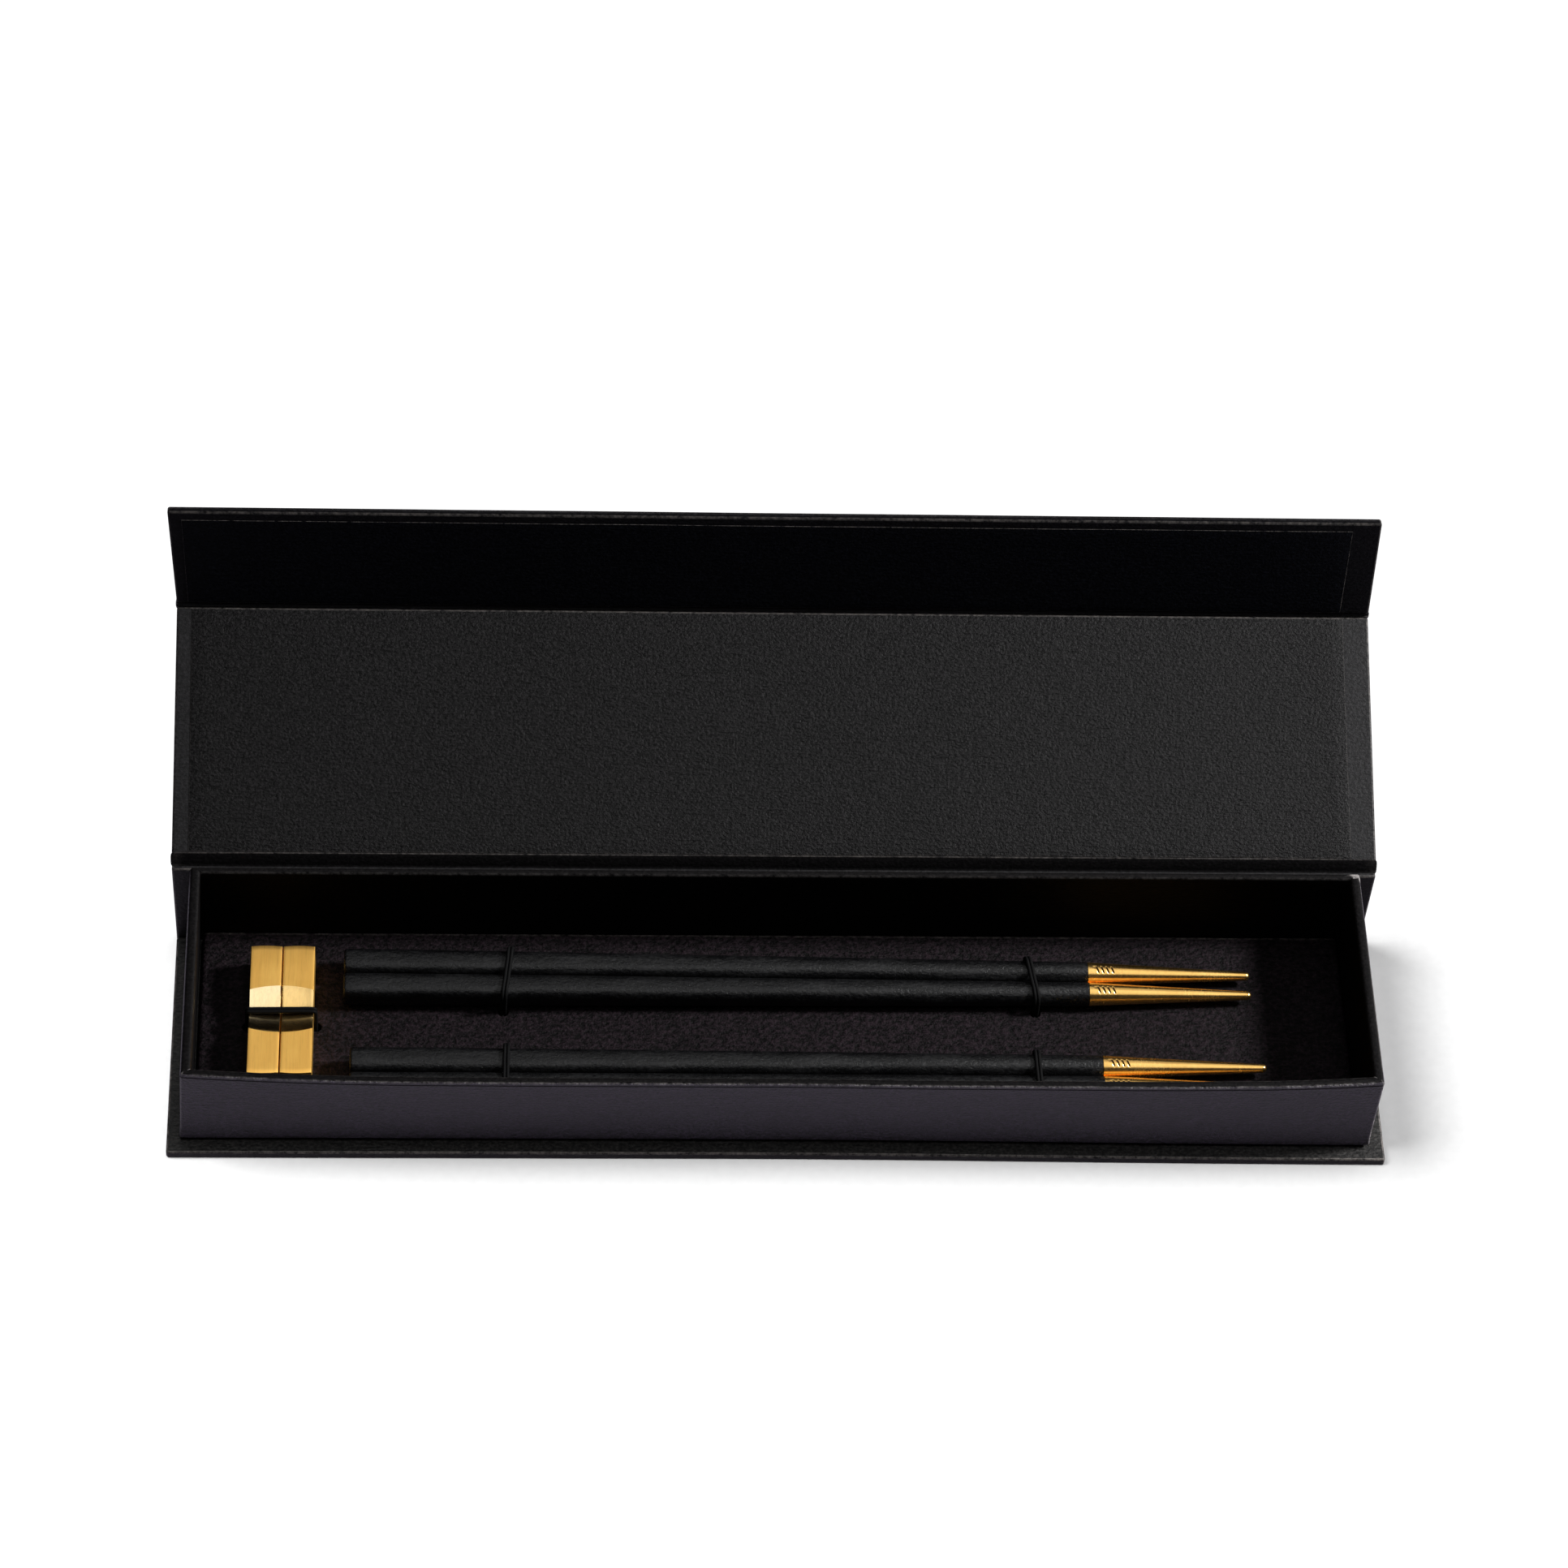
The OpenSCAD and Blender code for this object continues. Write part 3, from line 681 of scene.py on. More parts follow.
def tray_ring(level):
    """One loop of the tray: its outer or inner side, how far in from there, and its height."""
    side, d, z = level
    ix, fy, ry = (d if side == "o" else wall - d for wall in (WALL_SIDE, WALL_FRONT, WALL_REAR))
    r = max(0.08, 0.55 - fy * 0.5) if side == "o" else 0.12
    ring = rect_ring(tray_lo[0] + ix, tray_hi[0] - ix, tray_lo[1] + fy, BACK - ry, r,
                     (CELLS_LONG, CELLS_SHORT), CELLS_ROUND, crowded_places)
    return [(x, y, z) for x, y in ring]


def rim_arc(side, angles):
    """Levels over the rounded rim."""
    return [(side, RIM_R * (1 - cos(radians(a))), z_rim - RIM_R * (1 - sin(radians(a))))
            for a in angles]


# Up the outer side, over the rim and down the inner side; the row just under the rim makes the dark line
# there, which is painted shade.
levels = [("o", 0.9, z_foot), ("o", 0.85, z_foot + 0.9), ("o", -0.12, z_foot + 1.1),
          ("o", -0.22, z_foot + 1.4), ("o", -0.10, z_foot + 3.0), ("o", 0.0, z_foot + FLARE)]
levels += [("o", 0.0, z_foot + FLARE + (z_arc - 1.0 - z_foot - FLARE) * k / 7) for k in range(1, 8)]
shade_line_row = len(levels)
levels += [("o", 0.0, z_arc - 0.75), ("o", -0.04, z_arc - 0.2), ("o", 0.0, z_arc)]
levels += rim_arc("o", (22, 45, 68, 90)) + rim_arc("i", (90, 68, 45, 22, 0))
levels += [("i", 0.0, z_arc + (CARD_FOOT - z_arc) * k / 8) for k in range(1, 9)]
levels += [("i", 0.0, z_foot)]
tray_pts, tray_faces = loft([tray_ring(v) for v in levels], caps=False)
m = len(tray_pts) // len(levels)
bottom = (len(levels) - 1) * m
tray_faces += [[bottom + k, bottom + (k + 1) % m, (k + 1) % m, k] for k in range(m)]
# The first point of each rounded corner on a ring.
arcs, first = {}, 0
for corner, cells in zip(("front_right", "rear_right", "rear_left", "front_left"),
                         (CELLS_LONG, CELLS_SHORT) * 2):
    arcs[corner] = first + cells
    first += cells + CELLS_ROUND
CORNER_WEAR = {"front_left": 0.22, "rear_right": 0.3, "rear_left": 0.2}
SCUFF_TOP, LEFT_END = 17, -140
tray_wear_and_highlight = np.zeros(len(tray_pts))
for i, p in enumerate(tray_pts):
    side, inset, height = levels[i // m]
    where = next((c for c, first in arcs.items() if first < i % m < first + CELLS_ROUND), None)
    on_rim = height > z_arc + 0.01
    if on_rim:
        # The front rim's outer edge is painted paler than the other rims: real scuffing and a painted
        # highlight along that edge in one.
        rim_wear_and_highlight = 0.02 if abs(p[0]) > tray_hi[0] - 3 else 0.34 if side == "o" and p[1] < -20 else 0.08
        tray_wear_and_highlight[i] = rim_wear_and_highlight if 0.05 < inset < 0.4 else 0.0
    elif where and side == "o":
        tray_wear_and_highlight[i] = CORNER_WEAR.get(where, 0.9 if height < SCUFF_TOP else 0.35)
    if on_rim and p[0] > tray_hi[0] - 2.0 and p[1] > BACK - 1.6:
        tray_wear_and_highlight[i] = 1.0
    if on_rim and inset < 0.6 and where in ("front_left", "front_right"):
        tray_wear_and_highlight[i] = 0.95
    rise = unit(rise_at(p[2]))
    if p[0] < LEFT_END:
        p[0] += LEFT_LEAN * (2 * rise - 1)
    p[1] -= skew(p[0], p[1])
    if p[1] < tray_lo[1] + WALL_FRONT + 1.2:
        p[1] -= bow(p[0], p[2])
        p[1] += 0.12 * wobble(p, 0.03, 21) * unit((p[2] - 4) / 6)
    if p[1] > BACK - WALL_REAR - 0.1:
        p[2] += 0.1 * rise ** 4
    if p[2] > z_rim - 1:
        p[2] += 0.05 * wobble((p[0], p[1], 0), 0.02, 22)
# The outer wall takes the tray paper. The foot's undercut rows and the row under the rim take the darker
# inner copy as painted shade, like the rim and the inner side.
outer_rows = next(i for i, v in enumerate(levels) if v[1] > 0.1 and i > 2)
tray_mats = [0 if 1 < f[0] // m < outer_rows and f[2] // m <= outer_rows and f[0] // m != shade_line_row
             else 1 for f in tray_faces]
tray = make("tray_cover", tray_pts, tray_faces, "case",
            ("tray_wrap", "tray_wall_front", "tray_wall_rear", "tray_wall_left"), "wrap_paper",
            (TRAY, SHADED_INNER), face_mats=tray_mats, wear=tray_wear_and_highlight, sharp=45)
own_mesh(tray)

# The closing magnets in the front wall; those in the flap stay CAD nodes.
mag_lo, mag_hi = box_mm("tray_magnets")
MAGNET_R, MAGNET_T, MAGNET_EASE = 5.0, 1.25, 0.15
for sx, tag in ((-1, "left"), (1, "right")):
    middle = (sx * (mag_hi[0] - MAGNET_R), (mag_lo[2] + mag_hi[2]) / 2)
    v, f = loft([[(x, mag_lo[1] + 0.2 + y, z) for x, z in circle(middle, MAGNET_R - inset, 40)]
                 for inset, y in ((MAGNET_EASE, 0.0), (0.0, MAGNET_EASE),
                                  (0.0, MAGNET_T - MAGNET_EASE), (MAGNET_EASE, MAGNET_T))])
    v[:, 1] -= [bow(p[0], p[2]) + skew(p[0], tray_lo[1]) for p in v]
    magnet = make(f"wall_magnet_{tag}", v, [q[::-1] for q in f], "case", ("tray_magnets",), "magnet",
                  (STEEL,))
    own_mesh(magnet)

# ---- insert card

card_lo, card_hi = box_mm("insert_card")
STICK_LEN, TIP_LEN, HANDLE, FERRULE, POINT = 230.0, 41.7, 7.3, 6.1, 2.2
SHAFT_LEN = STICK_LEN - TIP_LEN
deck_z = card_hi[2]
slope = asin((HANDLE - FERRULE) / 2 / SHAFT_LEN)

# How far each loop is pulled askew at its holes, the two ends in opposite directions.
LOOPS = {"loop_rear_left": -0.9, "loop_rear_right": 0.85, "loop_front_left": -0.15,
         "loop_front_right": 0.25}
CORD_HALF = 0.5
holes = []
for node, askew in LOOPS.items():
    lo, hi = box_mm(node)
    x = (lo[0] + hi[0]) / 2
    holes += [(x + askew, lo[1] + CORD_HALF), (x - askew, hi[1] - CORD_HALF)]
lo, hi = box_mm("loop_rests")
rest_cord_y = (lo[1] + hi[1]) / 2
holes += [(lo[0] + CORD_HALF, rest_cord_y), (hi[0] - CORD_HALF, rest_cord_y)]
HOLE_R, HOLE_EASE, HOLE_SEG = 1.3, 0.18, 24


def hole_gap(x, y):
    """Distance to the centre of the nearest hole."""
    return min(hypot(x - h[0], y - h[1]) for h in holes)


def card():
    """Folded card: a gently uneven top with punched holes, a rounded fold and a turned-down flange."""
    x0, x1 = tray_lo[0] + WALL_SIDE + 0.25, tray_hi[0] - WALL_SIDE - 0.25
    y0, y1 = tray_lo[1] + WALL_FRONT + 0.25, BACK - WALL_REAR - 0.35
    t, fold = 1.2, 1.3
    outer = [(fold, deck_z), (0.85, deck_z - 0.06), (0.42, deck_z - 0.28), (0.12, deck_z - 0.7),
             (0.0, deck_z - 1.3), (0.0, card_lo[2]), (t, card_lo[2]), (t, deck_z - t - 0.25),
             (fold, deck_z - t)]
    rings = []
    for d, z in outer:
        r = max(0.3, 1.3 - d) if d > 1 else 1.0 - 0.4 * d
        rings.append([(x, y, z) for x, y in rect_ring(x0 + d, x1 - d, y0 + d, y1 - d, r, (96, 18), 3)])
    verts, faces = loft(rings, caps=False)
    verts = list(map(tuple, verts))
    around = len(rings[0])

    def add(points, z):
        """New points at one height, and their numbers."""
        verts.extend((x, y, z) for x, y in points)
        return list(range(len(verts) - len(points), len(verts)))

    def face_sheet(z, boundary, up):
        """Triangulated flat of the card, between its boundary ring and the hole rings."""
        flat_pts = [Vector(verts[boundary + k][:2]) for k in range(around)]
        ids = [boundary + k for k in range(around)]
        edges = [(k, (k + 1) % around) for k in range(around)]
        hole_ids = []
        for hole in holes:
            start = len(flat_pts)
            ring = circle(hole, HOLE_R + HOLE_EASE, HOLE_SEG)
            flat_pts += [Vector(q) for q in ring]
            hole_ids.append(add(ring, z))
            ids += hole_ids[-1]
            edges += [(start + k, start + (k + 1) % HOLE_SEG) for k in range(HOLE_SEG)]
        inner = [(x, y) for x in np.linspace(x0 + 4, x1 - 4, 68) for y in np.linspace(y0 + 4, y1 - 4, 14)
                 if hole_gap(x, y) > 2.4]
        flat_pts += [Vector(q) for q in inner]
        ids += add(inner, z)
        co, _, tris, _, _, _ = geometry.delaunay_2d_cdt(flat_pts, edges, [], 0, 1e-6)
        assert len(co) == len(flat_pts)
        for tri in tris:
            p, q, s = (co[k] for k in tri)
            c = (p + q + s) / 3
            if hole_gap(c.x, c.y) < HOLE_R + HOLE_EASE - 0.02:
                continue
            if not (x0 + 1.25 < c.x < x1 - 1.25 and y0 + 1.25 < c.y < y1 - 1.25):
                continue
            f = [ids[k] for k in tri]
            faces.append(f if ((q - p).cross(s - p) > 0) == up else f[::-1])
        return hole_ids

    top_holes = face_sheet(deck_z, 0, True)
    low_holes = face_sheet(deck_z - t, (len(outer) - 1) * around, False)
    for hole, last, low_ids in zip(holes, top_holes, low_holes):
        for r, z in ((HOLE_R + 0.05, deck_z - 0.06), (HOLE_R, deck_z - 0.2), (HOLE_R, deck_z - t + 0.15)):
            ids = add(circle(hole, r, HOLE_SEG), z)
            faces.extend(band(last, ids))
            last = ids
        faces.extend(band(last, low_ids))
    pts = np.array(verts)
    wear = np.zeros(len(pts))
    for i, p in enumerate(pts):
        # The card's rear top edge is painted paler along a thin line.
        if p[2] > deck_z - 1.0 and y1 - p[1] < 1.0:
            wear[i] = 0.9
        if min(p[0] - x0, x1 - p[0], p[1] - y0, y1 - p[1]) > 1.2:
            dip = 0.05 * exp(-((hole_gap(p[0], p[1]) - HOLE_R) / 1.2) ** 2)
            p[2] += 0.035 * wobble((p[0], p[1], 0), 0.05, 31) - dip
    make("insert_platform", pts, faces, "case", ("insert_card",), "card", (CARD,), wear=wear, sharp=55)


card()

# ---- chopsticks


def end_centre(node, far):
    """Centre of a CAD piece's left or far right end, in millimetres."""
    v = np.array([q.co for q in NODES[node].data.vertices]) / MM
    x = v[:, 0].max() if far else v[:, 0].min()
    near = v[abs(v[:, 0] - x) < 0.3]
    return (near.min(0) + near.max(0)) / 2


def stick_place(n, pts):
    """Moves points round the X axis to a chopstick's place, between the ends of its CAD pieces."""
    start, point = end_centre(f"stick_{n}_shaft", False), end_centre(f"stick_{n}_tip", True)
    yaw = asin((point[1] - start[1]) / STICK_LEN)
    rot = Matrix.Rotation(yaw, 3, "Z") @ Matrix.Rotation(slope, 3, "Y")
    return np.asarray(pts, float) @ np.array(rot).T + start


def squircle_ring(x, half_side, power):
    """Ring round X: a superellipse, from a circle (power 2) to a rounded square (power 4)."""
    n, ring = 56, []
    for k in range(n):
        a = 2 * pi * (k + 0.5) / n
        c, d = cos(a), sin(a)
        ring.append((x, half_side * copysign(abs(c) ** (2 / power), c),
                     half_side * copysign(abs(d) ** (2 / power), d)))
    return ring


def shaft_rings(seed):
    """Eased end, rounded-square handle, round by the ferrule; thickness wanders by hundredths."""
    ease, out = 0.8, []
    for a in range(0, 91, 15):
        t = radians(a)
        d = ease * (1 - sin(t)) * 0.8
        out.append(squircle_ring(ease * (1 - cos(t)), HANDLE / 2 - d, 3.1))
    count = 60
    for k in range(1, count + 1):
        x = ease + (SHAFT_LEN - ease) * k / count
        t = x / SHAFT_LEN
        half_side = (HANDLE + (FERRULE - HANDLE) * t) / 2 + 0.012 * wobble((x, 0, 0), 0.11, seed)
        out.append(squircle_ring(x, half_side, 3.2 - 1.2 * t ** 1.3))
    return out


# Four slanted notches near the base of each tip: millimetres, and radians round the tip.
NOTCHES = [2.5 + 1.28 * k for k in range(4)]
NOTCH_DEPTH, NOTCH_HALF, NOTCH_SLANT = 0.2, 0.22, 1.0
NOTCH_AT, NOTCH_REACH = radians(98), 0.34


def notch_depth(x, a):
    """How deep the notches are at a place along the tip and an angle round it."""
    depth = 0.0
    up = ((a - NOTCH_AT) + pi) % (2 * pi) - pi
    for mid in NOTCHES:
        across = abs(x - mid - NOTCH_SLANT * up)
        if across < NOTCH_HALF and abs(up) < NOTCH_REACH:
            profile = (1 - (across / NOTCH_HALF) ** 4) * (1 - (up / NOTCH_REACH) ** 6)
            depth = max(depth, NOTCH_DEPTH * profile)
    return depth


def tip_mesh():
    """Turned tip: eased shoulder, fine cone, domed point, and four short notches near its base."""
    r0, r1 = FERRULE / 2, POINT / 2
    cone_len = TIP_LEN - r1
    xs = [(0.0, r0 - 0.14), (0.05, r0 - 0.05), (0.14, r0)]
    x = 0.3
    while x < cone_len - 0.1:
        xs.append((x, r0 + (r1 - r0) * x / cone_len))
        x += 0.1 if 1.7 < x < 7.4 else 0.9
    for a in range(0, 90, 12):
        t = radians(a)
        xs.append((cone_len + r1 * sin(t), r1 * cos(t)))
    around = 72
    rings, cuts = [], []
    for x, r in xs:
        ring = []
        for k in range(around):
            a = 2 * pi * k / around
            depth = notch_depth(x, a)
            cuts.append(depth / NOTCH_DEPTH)
            ring.append((SHAFT_LEN + x, (r - depth) * cos(a), (r - depth) * sin(a)))
        rings.append(ring)
    return *loft(rings), cuts


for n in range(1, 5):
    pts, faces = loft(shaft_rings(39 + n))
    make(f"shaft_{n}", stick_place(n, pts), faces, f"stick_{n}", (f"stick_{n}_shaft",), "shaft",
         (SHAFT,), sharp=50)
    pts, faces, cuts = tip_mesh()
    make(f"tip_{n}", stick_place(n, pts), faces, f"stick_{n}", (f"stick_{n}_tip",), "gold",
         (GOLD_TURNED,), sharp=48, cut=cuts)

# ---- rests

# Radius of the barrel the scoop is cut by, how that radius shrinks away from the seam, its depth.
BARREL_R, BARREL_CURVE, SCOOP = 13.8, 53.0, 1.9
AXIS_UP = BARREL_R - SCOOP
REST_GAP, REST_EASE, FOOT_EASE, END_BOW = 0.12, 0.2, 0.25, 0.25


def rest_bar(side, tag):
    """One rest: a bar with eased edges, slightly hollow ends and half of the shared scoop."""
    node, ease = f"rest_{tag}", REST_EASE
    lo, hi = box_mm(node)
    (hi if side < 0 else lo)[0] += side * REST_GAP
    w, half_l = hi[0] - lo[0], (hi[1] - lo[1]) / 2
    cx, cy = (lo[0] + hi[0]) / 2, (lo[1] + hi[1]) / 2
    seam = hi[0] if side < 0 else lo[0]

    def radius(x):
        u = abs(x - seam)
        return BARREL_R - BARREL_CURVE + sqrt(BARREL_CURVE ** 2 - u * u)

    def scoop_half(x):
        return sqrt(max(0.01, radius(x) ** 2 - AXIS_UP ** 2))

    def scoop_depth(x, y):
        return max(0.0, sqrt(max(0.0, radius(x) ** 2 - y * y)) - AXIS_UP)

    eased = [(0.0, ease)] + [(ease * (1 - cos(radians(a))), ease * (1 - sin(radians(a))))
                             for a in (30, 60, 90)]
    columns = eased + [(x, 0.0) for x in np.linspace(ease, w - ease, 13)[1:-1]]
    columns += [(w - dx, dz) for dx, dz in reversed(eased)]
    rows_end = [(0.0, ease), (0.3 * ease, 0.30 * ease), (ease, 0.0)]
    flat_rows, scoop_rows = 10, 34
    verts, rows = [], []
    for dx, dz in columns:
        x = lo[0] + dx
        end = half_l - END_BOW * ((dx - w / 2) / (w / 2)) ** 2
        sh = scoop_half(x)
        flat_len = end - ease - sh
        ys = [(-end + d, drop) for d, drop in rows_end]
        ys += [(-end + ease + flat_len * k / flat_rows, 0.0) for k in range(1, flat_rows + 1)]
        ys += [(-sh + 2 * sh * k / scoop_rows, 0.0) for k in range(1, scoop_rows + 1)]
        ys += [(sh + flat_len * k / flat_rows, 0.0) for k in range(1, flat_rows + 1)]
        ys += [(end - d, drop) for d, drop in reversed(rows_end[:-1])]
        rows.append(list(range(len(verts), len(verts) + len(ys))))
        for y, drop in ys:
            if dz > 0 and drop > 0:
                z = hi[2] - min(ease, hypot(dz, drop))
            else:
                z = hi[2] - max(dz, drop) - (scoop_depth(x, y) if abs(y) < sh - 1e-6 else 0.0)
            verts.append((x, cy + y, z))
    faces, fm = [], []
    first_scoop = len(rows_end) + flat_rows - 1
    for left, right in zip(rows, rows[1:]):
        for b in range(len(left) - 1):
            faces.append([left[b], right[b], right[b + 1], left[b + 1]])
            fm.append(1 if first_scoop <= b < first_scoop + scoop_rows else 0)
    last = [r[0] for r in rows] + rows[-1][1:] + [r[-1] for r in reversed(rows[:-1])] + rows[0][-2:0:-1]
    outline = [verts[k][:2] for k in last]
    for z, inset in ((lo[2] + FOOT_EASE, 0.0), (lo[2], FOOT_EASE)):
        ring = list(range(len(verts), len(verts) + len(outline)))
        verts += [(x - copysign(min(inset, abs(x - cx)), x - cx),
                   y - copysign(min(inset, abs(y - cy)), y - cy), z) for x, y in outline]
        faces += band(last, ring)
        last = ring
    faces.append(last[::-1])
    fm += [0] * (len(faces) - len(fm))
    make(f"rest_bar_{tag}", verts, faces, node, (node,), "gold", (GOLD_BRUSHED, GOLD_POLISHED[tag]),
         face_mats=fm, sharp=24)


rest_bar(-1, "left")
rest_bar(1, "right")

# ---- elastic cords

STRAND_R, CORD_STEP, BRAID_PITCH = 0.46, 0.28, 1.15


def arch_path(a, b, foot, high, bend):
    """Points along an elastic loop in its own plane: up, round, across, round and down."""
    turn = high - bend
    up = max(2, int((turn - foot) / CORD_STEP))
    quarter = max(4, int(bend * pi / 2 / CORD_STEP))
    over = max(2, int((b - a - 2 * bend) / CORD_STEP))
    arc = [(bend * cos(pi / 2 * k / quarter), bend * sin(pi / 2 * k / quarter)) for k in range(quarter)]
    pts = [(a, foot + (turn - foot) * k / up) for k in range(up)]
    pts += [(a + bend - c, turn + s) for c, s in arc]
    pts += [(a + bend + (b - a - 2 * bend) * k / over, high) for k in range(over)]
    pts += [(b - bend + s, turn + c) for c, s in arc]
    pts += [(b, turn - (turn - foot) * k / up) for k in range(up + 1)]
    return pts


def braided(path):
    """A braided cord along a 3D path: two sets of crossing ridges."""
    n, path = 14, np.asarray(path, float)
    tang = np.gradient(path, axis=0)
    tang /= np.linalg.norm(tang, axis=1)[:, None]
    side = np.cross(tang[0], [0.0, 0.0, 1.0])
    if np.linalg.norm(side) < 1e-3:
        side = np.cross(tang[0], [1.0, 0, 0])
    side /= np.linalg.norm(side)
    length = 0.0
    rings, crowns = [], []
    for k, (p, t) in enumerate(zip(path, tang)):
        if k:
            length += np.linalg.norm(path[k] - path[k - 1])
        side = side - t * (side @ t)
        side /= np.linalg.norm(side)
        other = np.cross(t, side)
        ring = []
        for j in range(n):
            a = 2 * pi * j / n
            w = 2 * pi * length / BRAID_PITCH
            ridge = max(sin(4 * a + w), sin(4 * a - w))
            rr = STRAND_R * (0.94 + 0.055 * ridge)
            ring.append(p + rr * (cos(a) * side + sin(a) * other))
            # How much painted sheen each point gets, most on the braid's crests.
            crowns.append(max(0.0, ridge) ** 2)
        rings.append(ring)
    return rings, crowns


def elastic(name, node, along_x, bend, seed):
    """Two braided strands side by side, standing for one CAD loop."""
    lo, hi = box_mm(node)
    verts, faces, crowns = [], [], []
    askew = LOOPS.get(node, 0.0)
    mid_x, mid_y = (lo[0] + hi[0]) / 2, (lo[1] + hi[1]) / 2
    axis = 0 if along_x else 1
    a, b = lo[axis] + CORD_HALF, hi[axis] - CORD_HALF
    flat_path = arch_path(a, b, lo[2], hi[2] - CORD_HALF, bend)
    total = len(flat_path)
    for s in (-1, 1):
        path = []
        for k, (u, z) in enumerate(flat_path):
            t = k / (total - 1)
            arched = sin(pi * t)
            lean = 0.22 * arched * sin(2.2 * t + seed) + 0.06 * wobble((u, z, s), 0.35, seed)
            lift = 0.03 * (1 + sin(5 * t + seed + s)) * arched
            off = s * (STRAND_R - 0.04 * arched) + lean + askew * (1 - 2 * (u - a) / (b - a))
            path.append((u, mid_y + off, z + lift) if along_x else (mid_x + off, u, z + lift))
        rings, cr = braided(path)
        pts, fs = loft(rings)
        faces += [[len(verts) + q for q in f] for f in fs]
        verts += list(pts)
        crowns += cr
    make(name, verts, faces, "case", (node,), "elastic", (CORD,), sharp=80, crown=crowns)


elastic("cord_rear_left", "loop_rear_left", False, 2.3, 1.0)
elastic("cord_rear_right", "loop_rear_right", False, 2.9, 2.4)
elastic("cord_front_left", "loop_front_left", False, 2.3, 3.1)
elastic("cord_front_right", "loop_front_right", False, 2.9, 4.2)
elastic("cord_rests", "loop_rests", True, 0.7, 5.3)

# ---- CAD nodes that stay

STAYS = {BOARD: ["base_board", "spine_board", "lid_board", "flap_board", "tray_wall_right"],
         CARD: ["tray_floor"],
         STEEL: ["flap_magnets"], SHADED_BARB_STEEL: ["elastic_barbs"]}
for mat, names in STAYS.items():
    for n in names:
        NODES[n].data.materials.clear()
        NODES[n].data.materials.append(mat)

# ---- floor, light and camera

scene = bpy.context.scene
FLOOR_HALF = 12.0


def stage_floor():
    """Plain paper floor: pale to the camera, darker in what it throws back onto the object."""
    mat, tree = new_material("floor_paper")
    grain = noise_tex(tree, 400, 2.0, 0.5)
    pale = ramp(tree, grain, [(0.3, (0.80, 0.80, 0.80)), (0.7, (0.83, 0.83, 0.83))])
    held = ramp(tree, grain, [(0.3, (0.385, 0.350, 0.425)), (0.7, (0.405, 0.370, 0.445))])
    seen = tree.nodes.new("ShaderNodeLightPath").outputs["Is Camera Ray"]
    surface(tree, mix(tree, seen, held, pale), 0.9, 0.0)
    s = FLOOR_HALF
    me = bpy.data.meshes.new("floor")
    me.from_pydata([(-s, -s, 0), (s, -s, 0), (s, s, 0), (-s, s, 0)], [], [(0, 1, 2, 3)])
    me.materials.append(mat)
    ob = bpy.data.objects.new("floor", me)
    scene.collection.objects.link(ob)
    return ob


def lamp(name, kind, power, direction):
    """A light that shines along a direction, and its settings."""
    data = bpy.data.lights.new(name, kind)
    data.energy = power
    ob = bpy.data.objects.new(name, data)
    ob.rotation_euler = direction.to_track_quat("-Z", "Y").to_euler()
    scene.collection.objects.link(ob)
    return ob, data


def area(name, location, target, size, power, size_y=None):
    """A softbox, round or rectangular, that the camera doesn't see."""
    ob, data = lamp(name, "AREA", power, Vector(target) - Vector(location))
    ob.location = location
    ob.visible_camera = False
    data.shape = "RECTANGLE" if size_y else "DISK"
    data.size = size
    if size_y:
        data.size_y = size_y
    return ob


def sun(name, towards, power, angle):
    """A soft sun, placed towards a direction."""
    ob, data = lamp(name, "SUN", power, -Vector(towards))
    data.angle = radians(angle)
    return ob


floor = stage_floor()
key = area("key", (0.98, 0.14, 0.85), (0.0, 0.0, 0.01), 0.24, 34.0)
overhead = area("overhead", (0.0, -0.22, 2.1), (0.0, -0.22, 0.0), 1.7, 12.0, size_y=2.0)
rear = area("rear_softbox", (0.0, 1.5, 2.1), (0.0, 1.0, 0.0), 1.7, 5.0, size_y=1.4)
grounds = (sun("ground_side", (-1.0, 0.14, 1.55), 2.95, 31.0),
           sun("ground_top", (0.15, 0.10, 2.0), 1.85, 34.0))


def group(name, members, exclude=False):
    """A collection for light linking; exclude makes it a list of what is left out."""
    coll = bpy.data.collections.new(name)
    for ob in members:
        coll.objects.link(ob)
    if exclude:
        for entry in coll.collection_objects:
            entry.light_linking.link_state = "EXCLUDE"
    return coll


def named(*starts):
    return [ob for ob in scene.objects if ob.name.startswith(starts)]


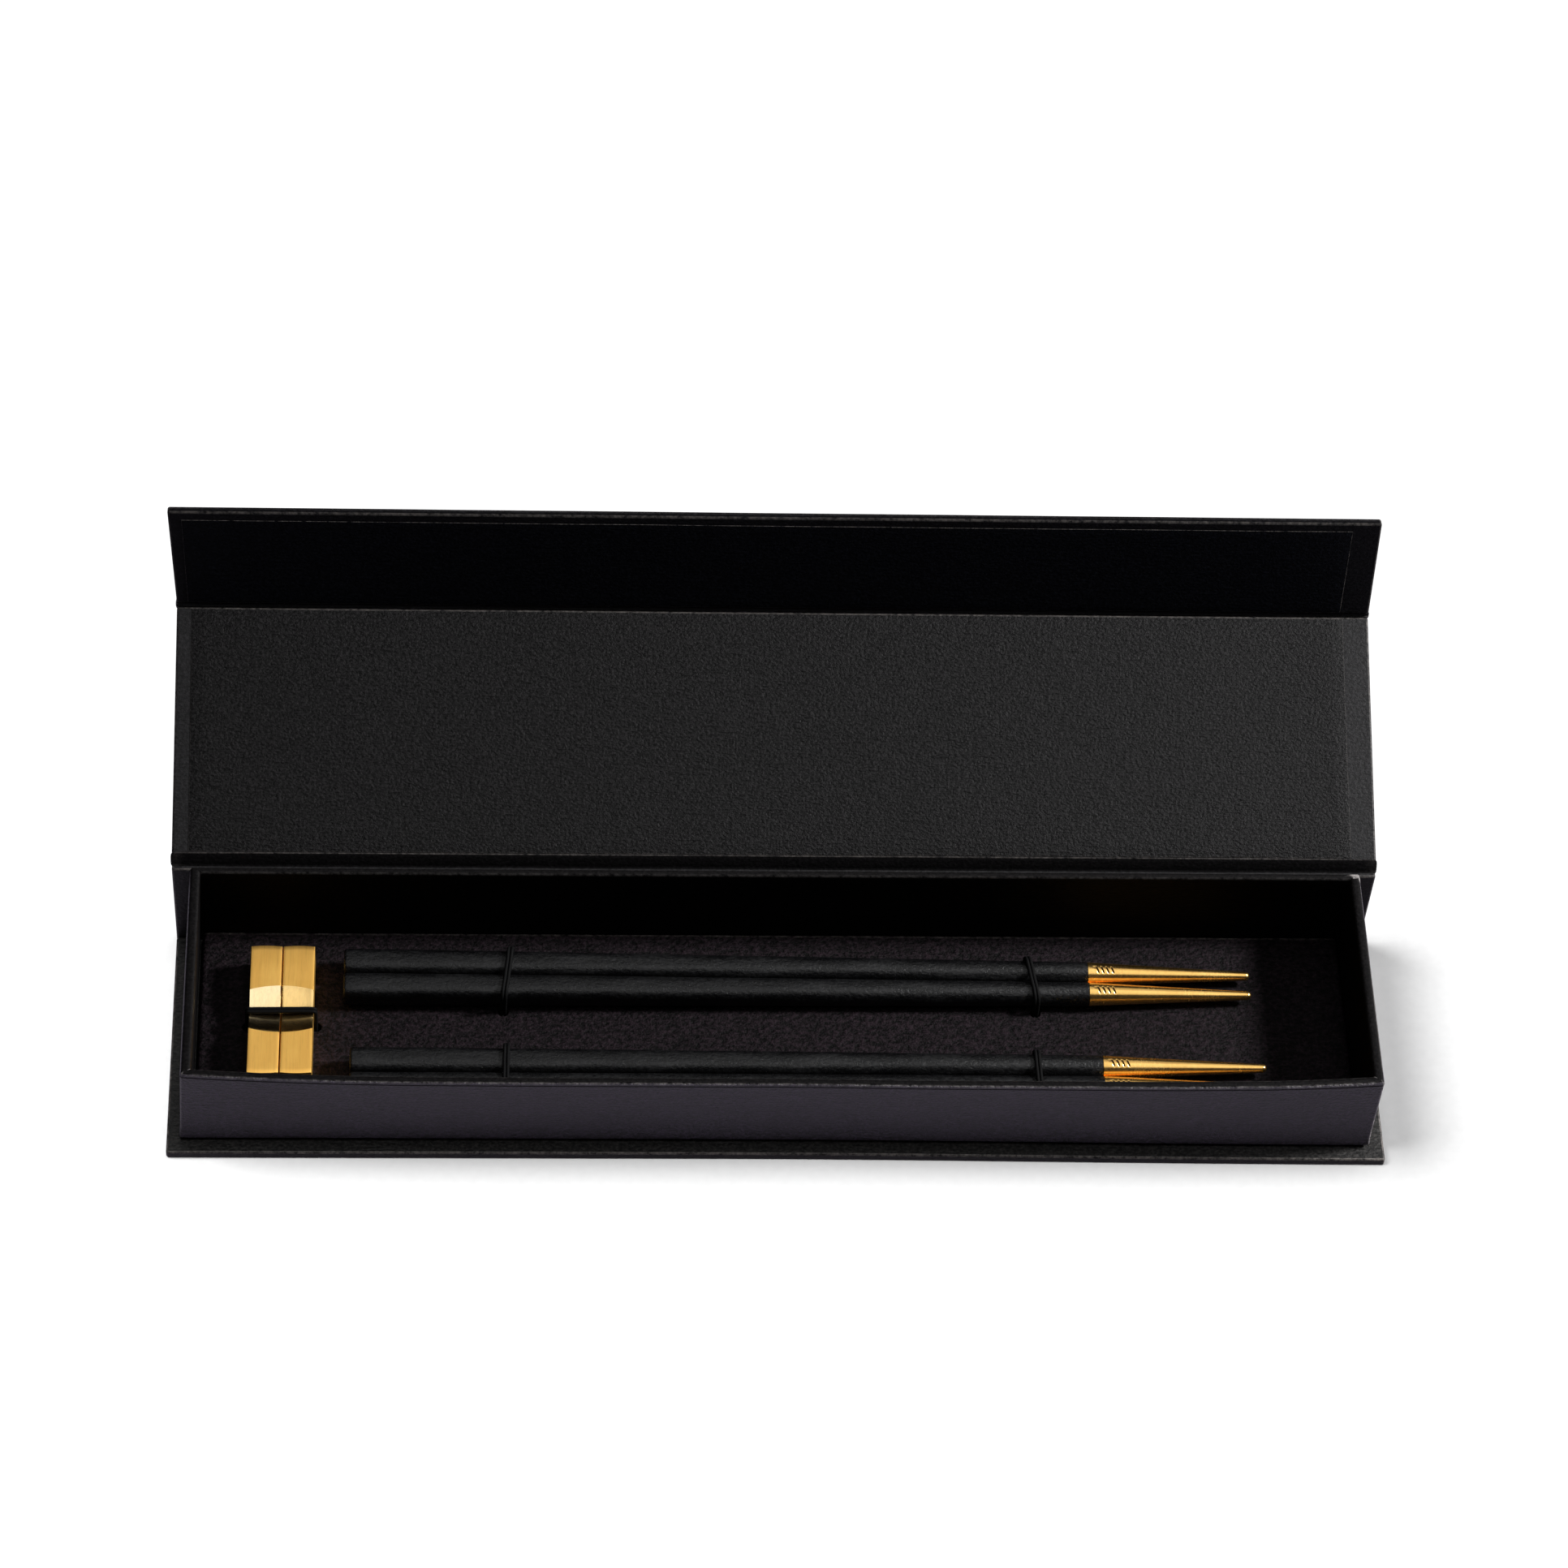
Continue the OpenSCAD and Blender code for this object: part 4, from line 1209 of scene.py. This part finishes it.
# Both suns light the floor, and the top one the case's base too; lid and flap don't shade them.
lit = (group("lit_floor", [floor]), group("ground_level", [floor] + named("base_cover", "base_turn_in")))
lid_side = group("lid_side", named("lid_", "flap_"), exclude=True)
for light, receivers in zip(grounds, lit):
    light.light_linking.receiver_collection = receivers
    light.light_linking.blocker_collection = lid_side
not_floor = group("not_floor", [floor], exclude=True)
for light in (key, overhead, rear):
    light.light_linking.receiver_collection = not_floor

# A white backdrop for the camera that lights the scene hardly at all.
world = bpy.data.worlds.new("studio")
scene.world = world
world.use_nodes = True
sky = world.node_tree
backdrop = sky.nodes["Background"]
backdrop.inputs["Color"].default_value = (1, 1, 1, 1)
seen = sky.nodes.new("ShaderNodeLightPath").outputs["Is Camera Ray"]
feed(sky, calc(sky, "MULTIPLY_ADD", seen, 0.99, 0.008), backdrop.inputs["Strength"])

scene.view_settings.view_transform = "Standard"
scene.view_settings.look = "None"

# Camera: the photograph's viewing angle, from a fit of the object's edges; the focal length is
# in picture widths.
ELEVATION, YAW, ROLL = (radians(v) for v in (53.064, 5.7082, 4.9717))
CAM_AT = (-0.0745782, -0.7103288, 1.0606464)
FOCAL, SENSOR_MM = 6.2114 / 1.932, 36.0
forward = Vector((sin(YAW) * cos(ELEVATION), cos(YAW) * cos(ELEVATION), -sin(ELEVATION)))
level_x = Vector((cos(YAW), -sin(YAW), 0))
level_y = level_x.cross(forward)
cam_x = level_x * cos(ROLL) + level_y * sin(ROLL)
cam_y = level_y * cos(ROLL) - level_x * sin(ROLL)
cam_data = bpy.data.cameras.new("camera")
cam_data.sensor_width = SENSOR_MM
cam_data.lens = SENSOR_MM * FOCAL
cam_data.clip_start, cam_data.clip_end = 0.05, 60.0
cam = bpy.data.objects.new("camera", cam_data)
cam.matrix_world = Matrix((
    (cam_x.x, cam_y.x, -forward.x, CAM_AT[0]),
    (cam_x.y, cam_y.y, -forward.y, CAM_AT[1]),
    (cam_x.z, cam_y.z, -forward.z, CAM_AT[2]),
    (0, 0, 0, 1)))
scene.collection.objects.link(cam)
scene.camera = cam
